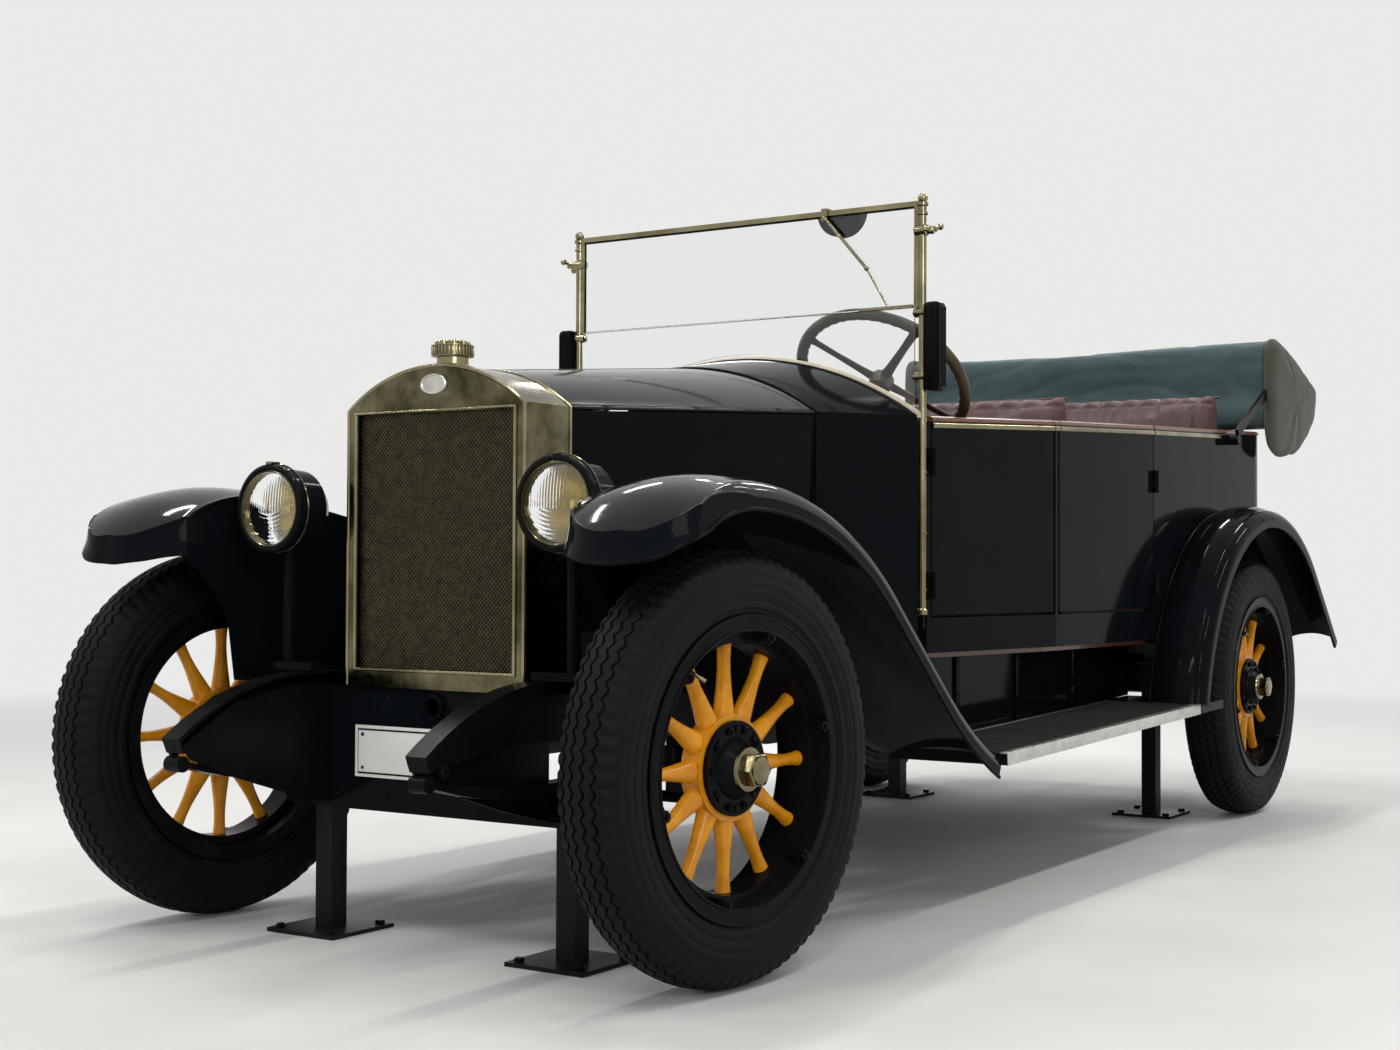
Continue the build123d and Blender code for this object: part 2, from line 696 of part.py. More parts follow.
def dome_line(inner, outer, raised):
    """Points of a fender's section: (y, depth below the path) of its dome, shoulder and lip."""
    shoulder = (outer - SHOULDER_R, SHOULDER_R - 5)
    radius = SHOULDER_R - raised
    slant = radius * sin(radians(45))
    return (
        (inner, raised + 2), ((inner + outer) / 2 - 12, raised - FENDER_DOME), (shoulder[0], shoulder[1] - radius),
        (shoulder[0] + slant, shoulder[1] - slant), (outer - raised, shoulder[1]), (outer - raised, FENDER_LIP),
    )


def domed(legs, inner, outer, solid):
    """A left fender's sheet led along a path, or the solid space under it."""
    with BuildPart() as made:
        for centre, ((x, z, heading), middle, last) in legs:
            across = Plane(origin=(x, 0, z), x_dir=(0, 1, 0), z_dir=(cos(radians(heading)), 0, sin(radians(heading))))
            with BuildSketch(across):
                with BuildLine():
                    below = dome_line(inner, outer, SHEET)
                    ThreePointArc(*below[0:3])
                    ThreePointArc(*below[2:5])
                    Line(below[4], below[5])
                    if solid:
                        Polyline(below[5], (inner, FENDER_LIP), below[0])
                    else:
                        above = dome_line(inner, outer, 0)
                        ThreePointArc(*above[0:3])
                        ThreePointArc(*above[2:5])
                        Line(above[4], above[5])
                        Line(above[5], below[5])
                        Line(above[0], below[0])
                make_face()
            if centre:
                turn = last[2] - heading
                revolve(axis=Axis((centre[0], 0, centre[1]), (0, -turn, 0)), revolution_arc=abs(turn))
            else:
                extrude(amount=sqrt((last[0] - x) ** 2 + (last[1] - z) ** 2))
    return made.part


def nose_outline(level, inset):
    """Plan of the front fender's nose at a height: it grows toward the lower edge."""
    grow = NOSE_FLARE * (NOSE_LEVEL - level) - inset
    outer, corner, front, inner, last = NOSE_PLAN
    side = outer[1] - inset
    tip = (front[0] + grow, front[1])
    end = last[0] + grow * 1.3
    with BuildSketch(Plane.XY.offset(level)) as made:
        with BuildLine():
            Line((150, side), (outer[0] + grow, side))
            ThreePointArc((outer[0] + grow, side), (corner[0] + grow * 0.7, corner[1] + grow * 0.7), tip)
            ThreePointArc(tip, (inner[0] + grow, inner[1] - grow * 0.3), (end, last[1]))
            Polyline((end, last[1]), (end, 440), (150, 440), (150, side))
        make_face()
    return made.sketch


def nose_space(inset):
    """Left half of everything behind the front fender's rounded nose, made smaller by inset."""
    with BuildPart() as made:
        add(nose_outline(700, inset))
        add(nose_outline(920, inset))
        loft(ruled=True)
        add(block((-1100, 160), (250, FENDER_OUTER - inset), (200, 1000)))
    return made.part


skirt_outline = [*SKIRT_PLAN, *[(x, y + SHEET) for x, y in reversed(SKIRT_PLAN)]]
outboard = prism(Plane.XY.offset(200), [(340, SKIRT_Y), *SKIRT_PLAN, (-1100, 460), (-1100, 800), (340, 800)], 800)
skirt_side = prism(Plane.XZ.offset(-600), ((250, 760), (188, 722), (121, 640), (100, SKIRT_FOOT), (-680, SKIRT_FOOT),
                                           (-680, 1000), (250, 1000)), 400)
with BuildPart() as front_fender:
    add(domed(FRONT_PATH, FENDER_INNER, FENDER_OUTER, solid=False))
    add(combined(strip(FRONT_PATH, 2, 2 + SHEET, 290, FENDER_INNER + 2), outboard))
    add(nose_space(0), mode=Mode.INTERSECT)
    add(combined(
        combined(domed(FRONT_PATH, FENDER_INNER - 10, FENDER_OUTER, solid=True), nose_space(0)), nose_space(SHEET),
        block((0, 400), (400, 800), (600, NOSE_LOW)), mode=Mode.SUBTRACT))
    add(combined(
        combined(prism(Plane.XY.offset(SKIRT_FOOT), [(240, SKIRT_Y), *skirt_outline, (240, SKIRT_Y + SHEET)], 500),
                 skirt_side),
        beneath(FRONT_PATH, 4, 290, 250, 600)))
    add(combined(prism(Plane.XY.offset(SKIRT_FOOT), [*SKIRT_PLAN[:3], (-330, 366), (-60, 328), (100, 328)], SHEET),
                 skirt_side))
write("front_fenders", joined(front_fender.part, mirror(front_fender.part, about=Plane.XZ)))

WHEEL_HOUSE_R = 446
with BuildPart() as wheel_disc:
    with Locations((-WHEELBASE, 600, TYRE_RADIUS)):
        Cylinder(WHEEL_HOUSE_R - 5, 400, rotation=(90, 0, 0))
with BuildPart() as wheel_house:
    with Locations((-WHEELBASE, (536 + 600) / 2, TYRE_RADIUS)):
        Cylinder(WHEEL_HOUSE_R, 600 - 536, rotation=(90, 0, 0))
    with Locations((-WHEELBASE, (541 + 610) / 2, TYRE_RADIUS)):
        Cylinder(WHEEL_HOUSE_R - 5, 610 - 541, rotation=(90, 0, 0), mode=Mode.SUBTRACT)
    add(block((-WHEELBASE - 500, -WHEELBASE + 500), (500, 700), (-100, FLOOR_TOP)), mode=Mode.SUBTRACT)
BODY_SKIN = 606
with BuildPart() as rear_fender:
    add(domed(REAR_PATH, BODY_SKIN, REAR_FENDER_OUTER, solid=False))
    add(combined(beneath(REAR_PATH, 4, 350, BODY_SKIN, BODY_SKIN + 4), wheel_disc.part,
                 block((-2520, -2200), (600, 700), (300, 379)), mode=Mode.SUBTRACT))
write("rear_fenders", joined(rear_fender.part, mirror(rear_fender.part, about=Plane.XZ), wheel_house.part,
                             mirror(wheel_house.part, about=Plane.XZ)))

with BuildPart() as board:
    with BuildSketch(Plane.XZ.offset(-BOARD_OUTER)):
        with BuildLine():
            Polyline(BOARD_FRONT, BOARD_REAR, (BOARD_REAR[0], BOARD_REAR[1] - BOARD_THICK),
                     (BOARD_FRONT[0], BOARD_FRONT[1] - BOARD_THICK), close=True)
        make_face()
    extrude(amount=BOARD_OUTER - BOARD_INNER)
write("running_boards", joined(board.part, mirror(board.part, about=Plane.XZ)))

with BuildPart() as apron:
    add(prism(Plane.XZ.offset(-466), ((-985, 318), (-985, 530), (-2460, 530), (-2460, 378)), 4))
write("side_aprons", joined(apron.part, mirror(apron.part, about=Plane.XZ)))


# Body: walls, floor, cowl, doors and bonnet.


def plan_outline(inset, front, level):
    """Face of the body's plan, inset on all sides, in front of the rear wall."""
    sides = [(station, half - inset) for station, half in BODY_PLAN]
    sides[0] = (front, sides[0][1] - (front - sides[0][0]) * 0.15)
    corner_x = BODY_REAR + REAR_CORNER
    wide = REAR_HALF_WIDTH - inset
    radius = REAR_CORNER - inset
    middle = (corner_x - radius * sin(radians(45)), wide - radius + radius * sin(radians(45)))
    with BuildSketch(Plane.XY.offset(level)) as made:
        with BuildLine():
            for hand in (1, -1):
                Polyline(*[(x, hand * y) for x, y in sides], (corner_x, hand * wide))
                ThreePointArc((corner_x, hand * wide), (middle[0], hand * middle[1]),
                              (corner_x - radius, hand * (wide - radius)))
            Line((corner_x - radius, wide - radius), (corner_x - radius, radius - wide))
            Line(sides[0], (sides[0][0], -sides[0][1]))
        make_face()
    return made.sketch


def body_solid(inset, front, low, high):
    """Solid filling the body's plan between two heights."""
    with BuildPart() as made:
        add(plan_outline(inset, front, low))
        extrude(amount=high - low)
    return made.part


BODY_FRONT = -1093
below_belt = prism(Plane.XZ.offset(-700), ((-1000, belt(-1000)), (-3800, belt(-3800)), (-3800, 500), (-1000, 500)),
                   1400)
wall = combined(body_solid(0, BODY_FRONT, SILL_BOTTOM, 1260), body_solid(WALL, BODY_FRONT + 40, 500, 1300),
                mode=Mode.SUBTRACT)
wall = combined(wall, below_belt)


def doorway(limits, gap_front, gap_rear, gap_below):
    """Space of one left door, grown by its gaps."""
    front, rear = limits
    return block((rear - gap_rear, front + gap_front), (400, 700), (DOOR_SILL - gap_below, 1300))


HINGE_GAP = 5
LATCH_GAP = 9
openings = [doorway(FRONT_DOOR, HINGE_GAP, LATCH_GAP, 6), doorway(REAR_DOOR, LATCH_GAP, HINGE_GAP, 6)]
with BuildPart() as arch_cut:
    with Locations((-WHEELBASE, 600, TYRE_RADIUS)):
        Cylinder(WHEEL_HOUSE_R + 2, 140, rotation=(90, 0, 0))
with BuildPart() as body_shell:
    add(wall)
    for cutter in (*openings, arch_cut.part):
        add(cutter, mode=Mode.SUBTRACT)
        add(mirror(cutter, about=Plane.XZ), mode=Mode.SUBTRACT)

# Door hinges: the body carries the pins and outer knuckles, the door the middle knuckle.
HINGE_HEIGHTS = (700, 985)
HINGE_OUT = 8
HINGE_KNUCKLE = 20


def skin_y(station):
    """Half width of the body's outer face at a station."""
    rows = ((BODY_FRONT, BODY_PLAN[0][1] - (BODY_FRONT - BODY_PLAN[0][0]) * 0.15),) + BODY_PLAN[1:]
    for (x0, y0), (x1, y1) in zip(rows, rows[1:]):
        if x1 <= station <= x0:
            return y0 + (y1 - y0) * (station - x0) / (x1 - x0)
    return REAR_HALF_WIDTH


DOORS = {
    "front": (FRONT_DOOR, FRONT_DOOR[0] + HINGE_GAP / 2, 1),
    "rear": (REAR_DOOR, REAR_DOOR[1] - HINGE_GAP / 2, -1),
}


def knuckles(axis_x, axis_y, toward, middle):
    """Hinge pieces about one axis. toward is +1 for the leaf ahead of the axis and -1 for the leaf behind it."""
    pieces = []
    for height in HINGE_HEIGHTS:
        levels = (0,) if middle else (-1, 1)
        with BuildPart() as made:
            for level in levels:
                z = height + level * (HINGE_KNUCKLE + 1)
                with Locations((axis_x, axis_y, z)):
                    Cylinder(8, HINGE_KNUCKLE)
                with Locations((axis_x + toward * 7.5, axis_y - HINGE_OUT + 1.5, z)):
                    Box(15, 5, HINGE_KNUCKLE)
            with Locations((axis_x, axis_y, height)):
                if middle:
                    Cylinder(4.06, 3 * HINGE_KNUCKLE, mode=Mode.SUBTRACT)
                else:
                    Cylinder(4, 3 * HINGE_KNUCKLE)
        pieces.append(made.part)
    return pieces


for name, (limits, axis_x, body_side) in DOORS.items():
    axis_y = skin_y(axis_x) + HINGE_OUT
    for piece in knuckles(axis_x, axis_y, body_side, middle=False):
        with BuildPart() as grown:
            add(body_shell.part)
            add(piece)
            add(mirror(piece, about=Plane.XZ))
        body_shell = grown
write("body_shell", body_shell.part)

for name, (limits, axis_x, body_side) in DOORS.items():
    axis_y = skin_y(axis_x) + HINGE_OUT
    with BuildPart() as door:
        add(wall)
        add(doorway(limits, 0, 0, 0), mode=Mode.INTERSECT)
        for piece in knuckles(axis_x, axis_y, -body_side, middle=True):
            add(piece)
    write(f"door_{name}_left", door.part)
    write(f"door_{name}_right", mirror(door.part, about=Plane.XZ))

with BuildPart() as body_floor:
    add(body_solid(WALL + 2, BODY_FRONT + 10, 532, FLOOR_TOP))
    add(block((-3420, -2400), (531, 640), (500, 600)), mode=Mode.SUBTRACT)
    add(block((-3420, -2400), (-640, -531), (500, 600)), mode=Mode.SUBTRACT)
    add(block((-1090, -812), (-330, 330), (532, FLOOR_TOP)))
    add(block((-812, -806), (-336, 336), (532, 1080)))
write("body_floor", body_floor.part)

COWL_END = -1070
cowl_rear = tuple(a + (b - a) * (COWL_END - BONNET_REAR) / (COWL_REAR - BONNET_REAR)
                  for a, b in zip(BONNET_REAR_SECTION, COWL_REAR_SECTION))
with BuildPart() as cowl:
    add(tunnel((BONNET_REAR, BONNET_REAR_SECTION), (COWL_END, cowl_rear), SILL_BOTTOM, (24, 0)))
    add(tunnel((BONNET_REAR + 1, inner_section(BONNET_REAR_SECTION, 6)), (COWL_END - 1, inner_section(cowl_rear, 6)),
               SILL_BOTTOM - 5, (24, 0)), mode=Mode.SUBTRACT)
write("cowl", cowl.part)

with BuildPart() as dashboard:
    add(hoop(-1106, (440, 1085, 1215), 1040))
    extrude(amount=12, dir=(1, 0, 0))
write("dashboard", dashboard.part)

# Bonnet: two tops hinged on the middle line, two sides hinged on the shoulders.
BONNET_ENDS = (RADIATOR_REAR - 5, BONNET_REAR + 5)


def between(station):
    """Bonnet section at a station."""
    share = (station - RADIATOR_REAR) / (BONNET_REAR - RADIATOR_REAR)
    return tuple(a + (b - a) * share for a, b in zip(RADIATOR_SECTION, BONNET_REAR_SECTION))


def top_skin(station):
    """Section of the left top panel, from the middle rod to the shoulder rod."""
    half, shoulder, crown = between(station)
    radius = arc_radius(half, crown - shoulder)
    centre = crown - radius
    widths = (6, half / 2, half - 7)
    outer = [(y, centre + sqrt(radius ** 2 - y ** 2)) for y in widths]
    inner = [(y, centre + sqrt((radius - SHEET) ** 2 - y ** 2)) for y in widths]
    with BuildSketch(Plane.YZ.offset(station)) as made:
        with BuildLine():
            ThreePointArc(*outer)
            ThreePointArc(*inner)
            Line(outer[0], inner[0])
            Line(outer[2], inner[2])
        make_face()
    return made.sketch


def side_skin(station):
    """Section of the left side panel, from the shoulder rod down."""
    half, shoulder, crown = between(station)
    foot = half - 0.04 * (shoulder - BONNET_FOOT)
    with BuildSketch(Plane.YZ.offset(station)) as made:
        with BuildLine():
            Polyline((half, shoulder - 7), (foot, BONNET_FOOT), (foot - SHEET, BONNET_FOOT),
                     (half - SHEET, shoulder - 7), close=True)
        make_face()
    return made.sketch


BONNET_FOOT = 612


def rod(first, last, radius):
    """Round bar between two points."""
    span = Vector(*last) - Vector(*first)
    with BuildPart() as made:
        with BuildSketch(Plane(origin=first, z_dir=span)):
            Circle(radius)
        extrude(amount=span.length)
    return made.part


def on_line(station, shoulder_line):
    """Point of the bonnet's middle line or of its left shoulder line."""
    half, shoulder, crown = between(station)
    return (station, half - 1, shoulder - 1) if shoulder_line else (station, 0, crown - 1)


with BuildPart() as bonnet_top:
    add(top_skin(BONNET_ENDS[0]))
    add(top_skin(BONNET_ENDS[1]))
    loft(ruled=True)
    add(rod(on_line(BONNET_ENDS[0], True), on_line(BONNET_ENDS[1], True), 4))
    for station in (-200, -450, -700):
        x, y, z = on_line(station, True)
        with Locations((station, y - 5, z + 3)):
            Box(40, 12, 5)
with BuildPart() as bonnet_side:
    add(side_skin(BONNET_ENDS[0]))
    add(side_skin(BONNET_ENDS[1]))
    loft(ruled=True)
write("bonnet_top_left", bonnet_top.part)
write("bonnet_top_right", mirror(bonnet_top.part, about=Plane.XZ))
write("bonnet_side_left", bonnet_side.part)
write("bonnet_side_right", mirror(bonnet_side.part, about=Plane.XZ))
write("bonnet_rod", rod(on_line(RADIATOR_REAR - 1, False), on_line(BONNET_REAR + 1, False), 3))

# Windscreen, wiper box and indicators
with BuildPart() as windscreen_frame:
    for hand in (1, -1):
        with Locations((SCREEN_X, hand * SCREEN_HALF, (SCREEN_POST_FOOT + SCREEN_POST_TOP) / 2)):
            Cylinder(9, SCREEN_POST_TOP - SCREEN_POST_FOOT)
        with Locations((SCREEN_X, hand * SCREEN_HALF, SCREEN_POST_TOP)):
            Sphere(12)
        add(block((SCREEN_X - 6, SCREEN_X + 6), (hand * 472, hand * 484), (PANE_SPLIT - 2, PANE_TOP)))
        for height in CLAMP_HEIGHTS:
            with Locations((SCREEN_X, hand * (SCREEN_HALF - 6), height)):
                Cylinder(11, 26, rotation=(90, 0, 0))
    add(block((SCREEN_X - 6, SCREEN_X + 6), (-484, 484), (PANE_TOP - 12, PANE_TOP)))
write("windscreen_frame", windscreen_frame.part)

with BuildPart() as lower_pane:
    add(block((SCREEN_X - 2, SCREEN_X + 2), (-471, 471), (1110, PANE_SPLIT - 3)))
    add(hoop(-1106, (460, 1100, 1258), 1040))
    extrude(amount=40, dir=(1, 0, 0), mode=Mode.SUBTRACT)
with BuildPart() as upper_pane:
    add(block((SCREEN_X - 2, SCREEN_X + 2), (-471, 471), (PANE_SPLIT + 1, PANE_TOP - 13)))
write("windscreen_glass", joined(lower_pane.part, upper_pane.part))

with BuildPart() as indicator:
    add(block((SCREEN_X - 24, SCREEN_X + 24), (503, 542), (1146, 1350)))
    add(block((SCREEN_X - 8, SCREEN_X + 8), (500.5, 503), (1200, 1300)))
write("indicator_boxes", joined(indicator.part, mirror(indicator.part, about=Plane.XZ)))

# Wiper: a half drum hung inside the windscreen's top bar, and an arm in front of the glass that hooks over it
with BuildPart() as wiper:
    with BuildSketch(Plane.YZ.offset(SCREEN_X - 34)):
        with Locations((WIPER_Y, PANE_TOP - 2)):
            Circle(WIPER_R)
            with Locations((0, WIPER_R / 2)):
                Rectangle(2 * WIPER_R + 10, WIPER_R, mode=Mode.SUBTRACT)
    extrude(amount=28)
write("wiper", wiper.part)

with BuildPart() as wiper_arm:
    marks = [(SCREEN_X + x, y, z) for x, y, z in WIPER_ARM]
    hook = (WIPER_ARM[0][1] - 8, WIPER_ARM[0][1] + 8)
    add(block((SCREEN_X - 20, SCREEN_X + 12), hook, (PANE_TOP + 0.5, PANE_TOP + 5)))
    add(block((SCREEN_X + 7, SCREEN_X + 12), hook, (PANE_TOP - 24, PANE_TOP + 5)))
    add(rod(marks[0], marks[1], 4))
    add(rod(marks[1], marks[2], 2.5))
    with Locations(marks[1]):
        Sphere(6)
    add(block((SCREEN_X + 7, SCREEN_X + 11), (330, 470), (1341, 1347)))
write("wiper_arm", wiper_arm.part)

# Cabin: seats, steering wheel and column
with BuildPart() as front_seat:
    add(block((-1820, -1420), (-500, 500), (FLOOR_TOP + 1, 800)))
    add(prism(Plane.XZ.offset(-500), ((-1400, 801), (-1400, 905), (-1770, 880), (-1840, 1190), (-1900, 1190),
                                      (-1900, 801)), 1000))
write("front_seat", front_seat.part)
with BuildPart() as rear_seat:
    add(block((-3180, -2500), (-525, 525), (FLOOR_TOP + 1, 790)))
    add(prism(Plane.XZ.offset(-525), ((-2470, 791), (-2470, 935), (-2900, 900), (-3010, 1285), (-3110, 1285),
                                      (-3160, 791)), 1050))
write("rear_seat", rear_seat.part)

WHEEL_CENTRE = (-1283, 282, 1201)
COLUMN_TILT = 47
RIM_R = 208
column_dir = (-cos(radians(COLUMN_TILT)), 0, sin(radians(COLUMN_TILT)))


def along_column(distance):
    """Point on the steering column, measured up from the wheel's centre."""
    return tuple(c + distance * d for c, d in zip(WHEEL_CENTRE, column_dir))


with BuildPart() as steering_wheel:
    with BuildSketch(Plane(origin=(0, 0, 0), x_dir=(1, 0, 0), z_dir=(0, -1, 0))):
        with Locations((RIM_R, 0)):
            Circle(12)
    revolve(axis=Axis.Z)
    for turn in (45, 135, 225, 315):
        with Locations(Location((0, 0, 0), (0, 0, turn)) * Location((RIM_R / 2, 0, 0))):
            Box(RIM_R - 10, 22, 8)
    with Locations((0, 0, -10)):
        Cylinder(30, 36)
    with Locations((0, 0, -70)):
        Cylinder(10, 90)
wheel_plane = Plane(origin=WHEEL_CENTRE, x_dir=(0, 1, 0), z_dir=column_dir)
write("steering_wheel", wheel_plane.location * steering_wheel.part)

with BuildPart() as column_tube:
    with BuildSketch(Plane(origin=along_column(-32), x_dir=(0, 1, 0), z_dir=column_dir)):
        Circle(17)
        Circle(10.06, mode=Mode.SUBTRACT)
    extrude(amount=-620)
write("steering_column", column_tube.part)

# Folded hood behind the body, and the irons that carry it
with BuildPart() as folded_hood:
    add(prism(Plane.XZ.offset(-660), ((-3250, 1200), (-3240, 1470), (-3300, 1484), (-3720, 1360), (-3750, 1280),
                                      (-3440, 1190)), 1320))
write("folded_hood", folded_hood.part)
with BuildPart() as hood_iron:
    add(prism(Plane.XZ.offset(-640), ((-2950, 1150), (-2935, 1170), (-3238, 1320), (-3238, 1290)), 10))
    with Locations((-2950, 623, 1140)):
        Cylinder(16, 34, rotation=(90, 0, 0))
write("hood_irons", joined(hood_iron.part, mirror(hood_iron.part, about=Plane.XZ)))

with BuildPart() as tail_lamp:
    with Locations((BODY_REAR - 26, 470, 620)):
        Cylinder(34, 50, rotation=(0, 90, 0))
write("tail_lamp", tail_lamp.part)

# Axle stands under the front axle and the rear rails
with BuildPart() as stand_front:
    add(block((-90, 90), (307 - 90, 307 + 90), (0, 8)))
    add(block((-22, 22), (307 - 22, 307 + 22), (8, AXLE_DROP_Z - BEAM_HEIGHT / 2)))
with BuildPart() as stand_rear:
    add(block((-2840, -2660), (340, 520), (0, 8)))
    add(block((-2772, -2728), (408, 452), (8, RAIL_TOP - RAIL_DEPTH)))
write("axle_stands", joined(stand_front.part, mirror(stand_front.part, about=Plane.XZ), stand_rear.part,
                            mirror(stand_rear.part, about=Plane.XZ)))
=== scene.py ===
"""Looks of an open touring car of the late 1920s: materials, soft seats, the folded hood, trim, light and camera.

Metres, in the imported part's own frame: +X forward, +Y to the car's left, +Z up, origin on the floor.
"""
import json
from math import atan2, cos, pi, radians, sin, sqrt

import bmesh
import bpy
from mathutils import Matrix, Vector, noise


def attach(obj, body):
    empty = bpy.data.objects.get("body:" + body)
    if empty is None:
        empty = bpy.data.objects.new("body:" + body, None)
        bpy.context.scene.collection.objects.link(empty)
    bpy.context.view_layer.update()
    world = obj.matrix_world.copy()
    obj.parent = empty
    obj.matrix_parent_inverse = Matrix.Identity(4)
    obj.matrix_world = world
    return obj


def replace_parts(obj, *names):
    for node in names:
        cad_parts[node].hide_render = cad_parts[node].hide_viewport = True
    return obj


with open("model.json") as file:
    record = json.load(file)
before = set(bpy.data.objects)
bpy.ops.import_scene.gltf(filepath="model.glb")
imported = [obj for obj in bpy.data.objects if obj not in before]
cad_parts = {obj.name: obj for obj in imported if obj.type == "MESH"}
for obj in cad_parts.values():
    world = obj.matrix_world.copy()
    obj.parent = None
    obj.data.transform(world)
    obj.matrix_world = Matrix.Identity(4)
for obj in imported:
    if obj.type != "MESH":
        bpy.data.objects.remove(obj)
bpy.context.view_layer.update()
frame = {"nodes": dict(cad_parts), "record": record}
NODES = frame["nodes"]
SCENE = bpy.context.scene
CHASSIS = "chassis"

# The stations below are measured from the front axle, as in the part's source.
FRONT_AXLE_X = 1.658
WHEELBASE = 2.950
HALF_TRACK = 0.645
TYRE_RADIUS = 0.386
KINGPIN_Y = 0.545
REST_STEER = radians(-5.7)
SIDES = {1: "left", -1: "right"}


def place(x, y, z):
    """Point given by its station from the front axle, in metres."""
    return Vector((x + FRONT_AXLE_X, y, z))


def mm(x, y, z):
    """Point given by its station from the front axle, in millimetres."""
    return place(x / 1000, y / 1000, z / 1000)


def spot(x, y, z, axis="X", turn=0.0):
    """Frame that stands at a point in millimetres, turned about one axis."""
    return Matrix.Translation(mm(x, y, z)) @ Matrix.Rotation(turn, 4, axis)


def around(count, radius, start=0.0):
    """Frames spread evenly round the local X axis, each at one distance from it."""
    return [Matrix.Rotation(2 * pi * k / count + start, 4, "X") @ Matrix.Translation((0, radius, 0))
            for k in range(count)]


def circle(count):
    """Directions (cosine, sine) spread evenly over a full turn."""
    return [(cos(2 * pi * k / count), sin(2 * pi * k / count)) for k in range(count)]


def clamped(value):
    """A number held between 0 and 1."""
    return min(1.0, max(0.0, value))


def mixed(a, b, share):
    """Point or row of numbers between two others."""
    return tuple(p + (q - p) * share for p, q in zip(a, b))


# Camera: fitted to the photograph's wheels, posts and fenders
CAMERA_AT = place(2.8878, 2.46824, 0.73647)
CAMERA_YAW = radians(213.083)
CAMERA_PITCH = radians(1.3096)
CAMERA_ROLL = radians(0.2368)
SENSOR = 36
FOCAL = SENSOR * 1921.39 / 1400


def make_camera():
    """The camera at the photograph's place, turned by yaw, pitch and roll."""
    data = bpy.data.cameras.new("camera")
    data.lens = FOCAL
    data.sensor_width = SENSOR
    data.clip_start = 0.05
    data.clip_end = 100
    camera = bpy.data.objects.new("camera", data)
    SCENE.collection.objects.link(camera)
    ahead = Vector((cos(CAMERA_PITCH) * cos(CAMERA_YAW), cos(CAMERA_PITCH) * sin(CAMERA_YAW), sin(CAMERA_PITCH)))
    right = Vector((sin(CAMERA_YAW), -cos(CAMERA_YAW), 0))
    up = right.cross(ahead)
    tilted_right = right * cos(CAMERA_ROLL) + up * sin(CAMERA_ROLL)
    tilted_up = up * cos(CAMERA_ROLL) - right * sin(CAMERA_ROLL)
    turn = Matrix((tilted_right, tilted_up, -ahead)).transposed()
    camera.matrix_world = Matrix.Translation(CAMERA_AT) @ turn.to_4x4()
    SCENE.camera = camera


make_camera()


# Materials


class Tree:
    """A small builder for one node tree."""

    def __init__(self, tree):
        self.tree = tree

    def feed(self, socket, value):
        """Link a socket to another node, or set it to a constant."""
        if isinstance(value, bpy.types.NodeSocket):
            self.tree.links.new(value, socket)
        else:
            socket.default_value = (*value, 1) if socket.type == "RGBA" else value

    def add(self, kind, inputs=(), **settings):
        """New node with its settings and with pairs of socket and value."""
        node = self.tree.nodes.new(kind)
        for key, value in settings.items():
            setattr(node, key, value)
        for key, value in inputs:
            self.feed(node.inputs[key], value)
        return node

    def math(self, operation, a, b):
        return self.add("ShaderNodeMath", ((0, a), (1, b)), operation=operation).outputs[0]

    def seen(self):
        """One for rays from the camera, off gloss or through glass, else zero."""
        path = self.add("ShaderNodeLightPath").outputs
        return self.math("MAXIMUM", path["Is Camera Ray"],
                         self.math("MAXIMUM", path["Is Glossy Ray"], path["Is Transmission Ray"]))


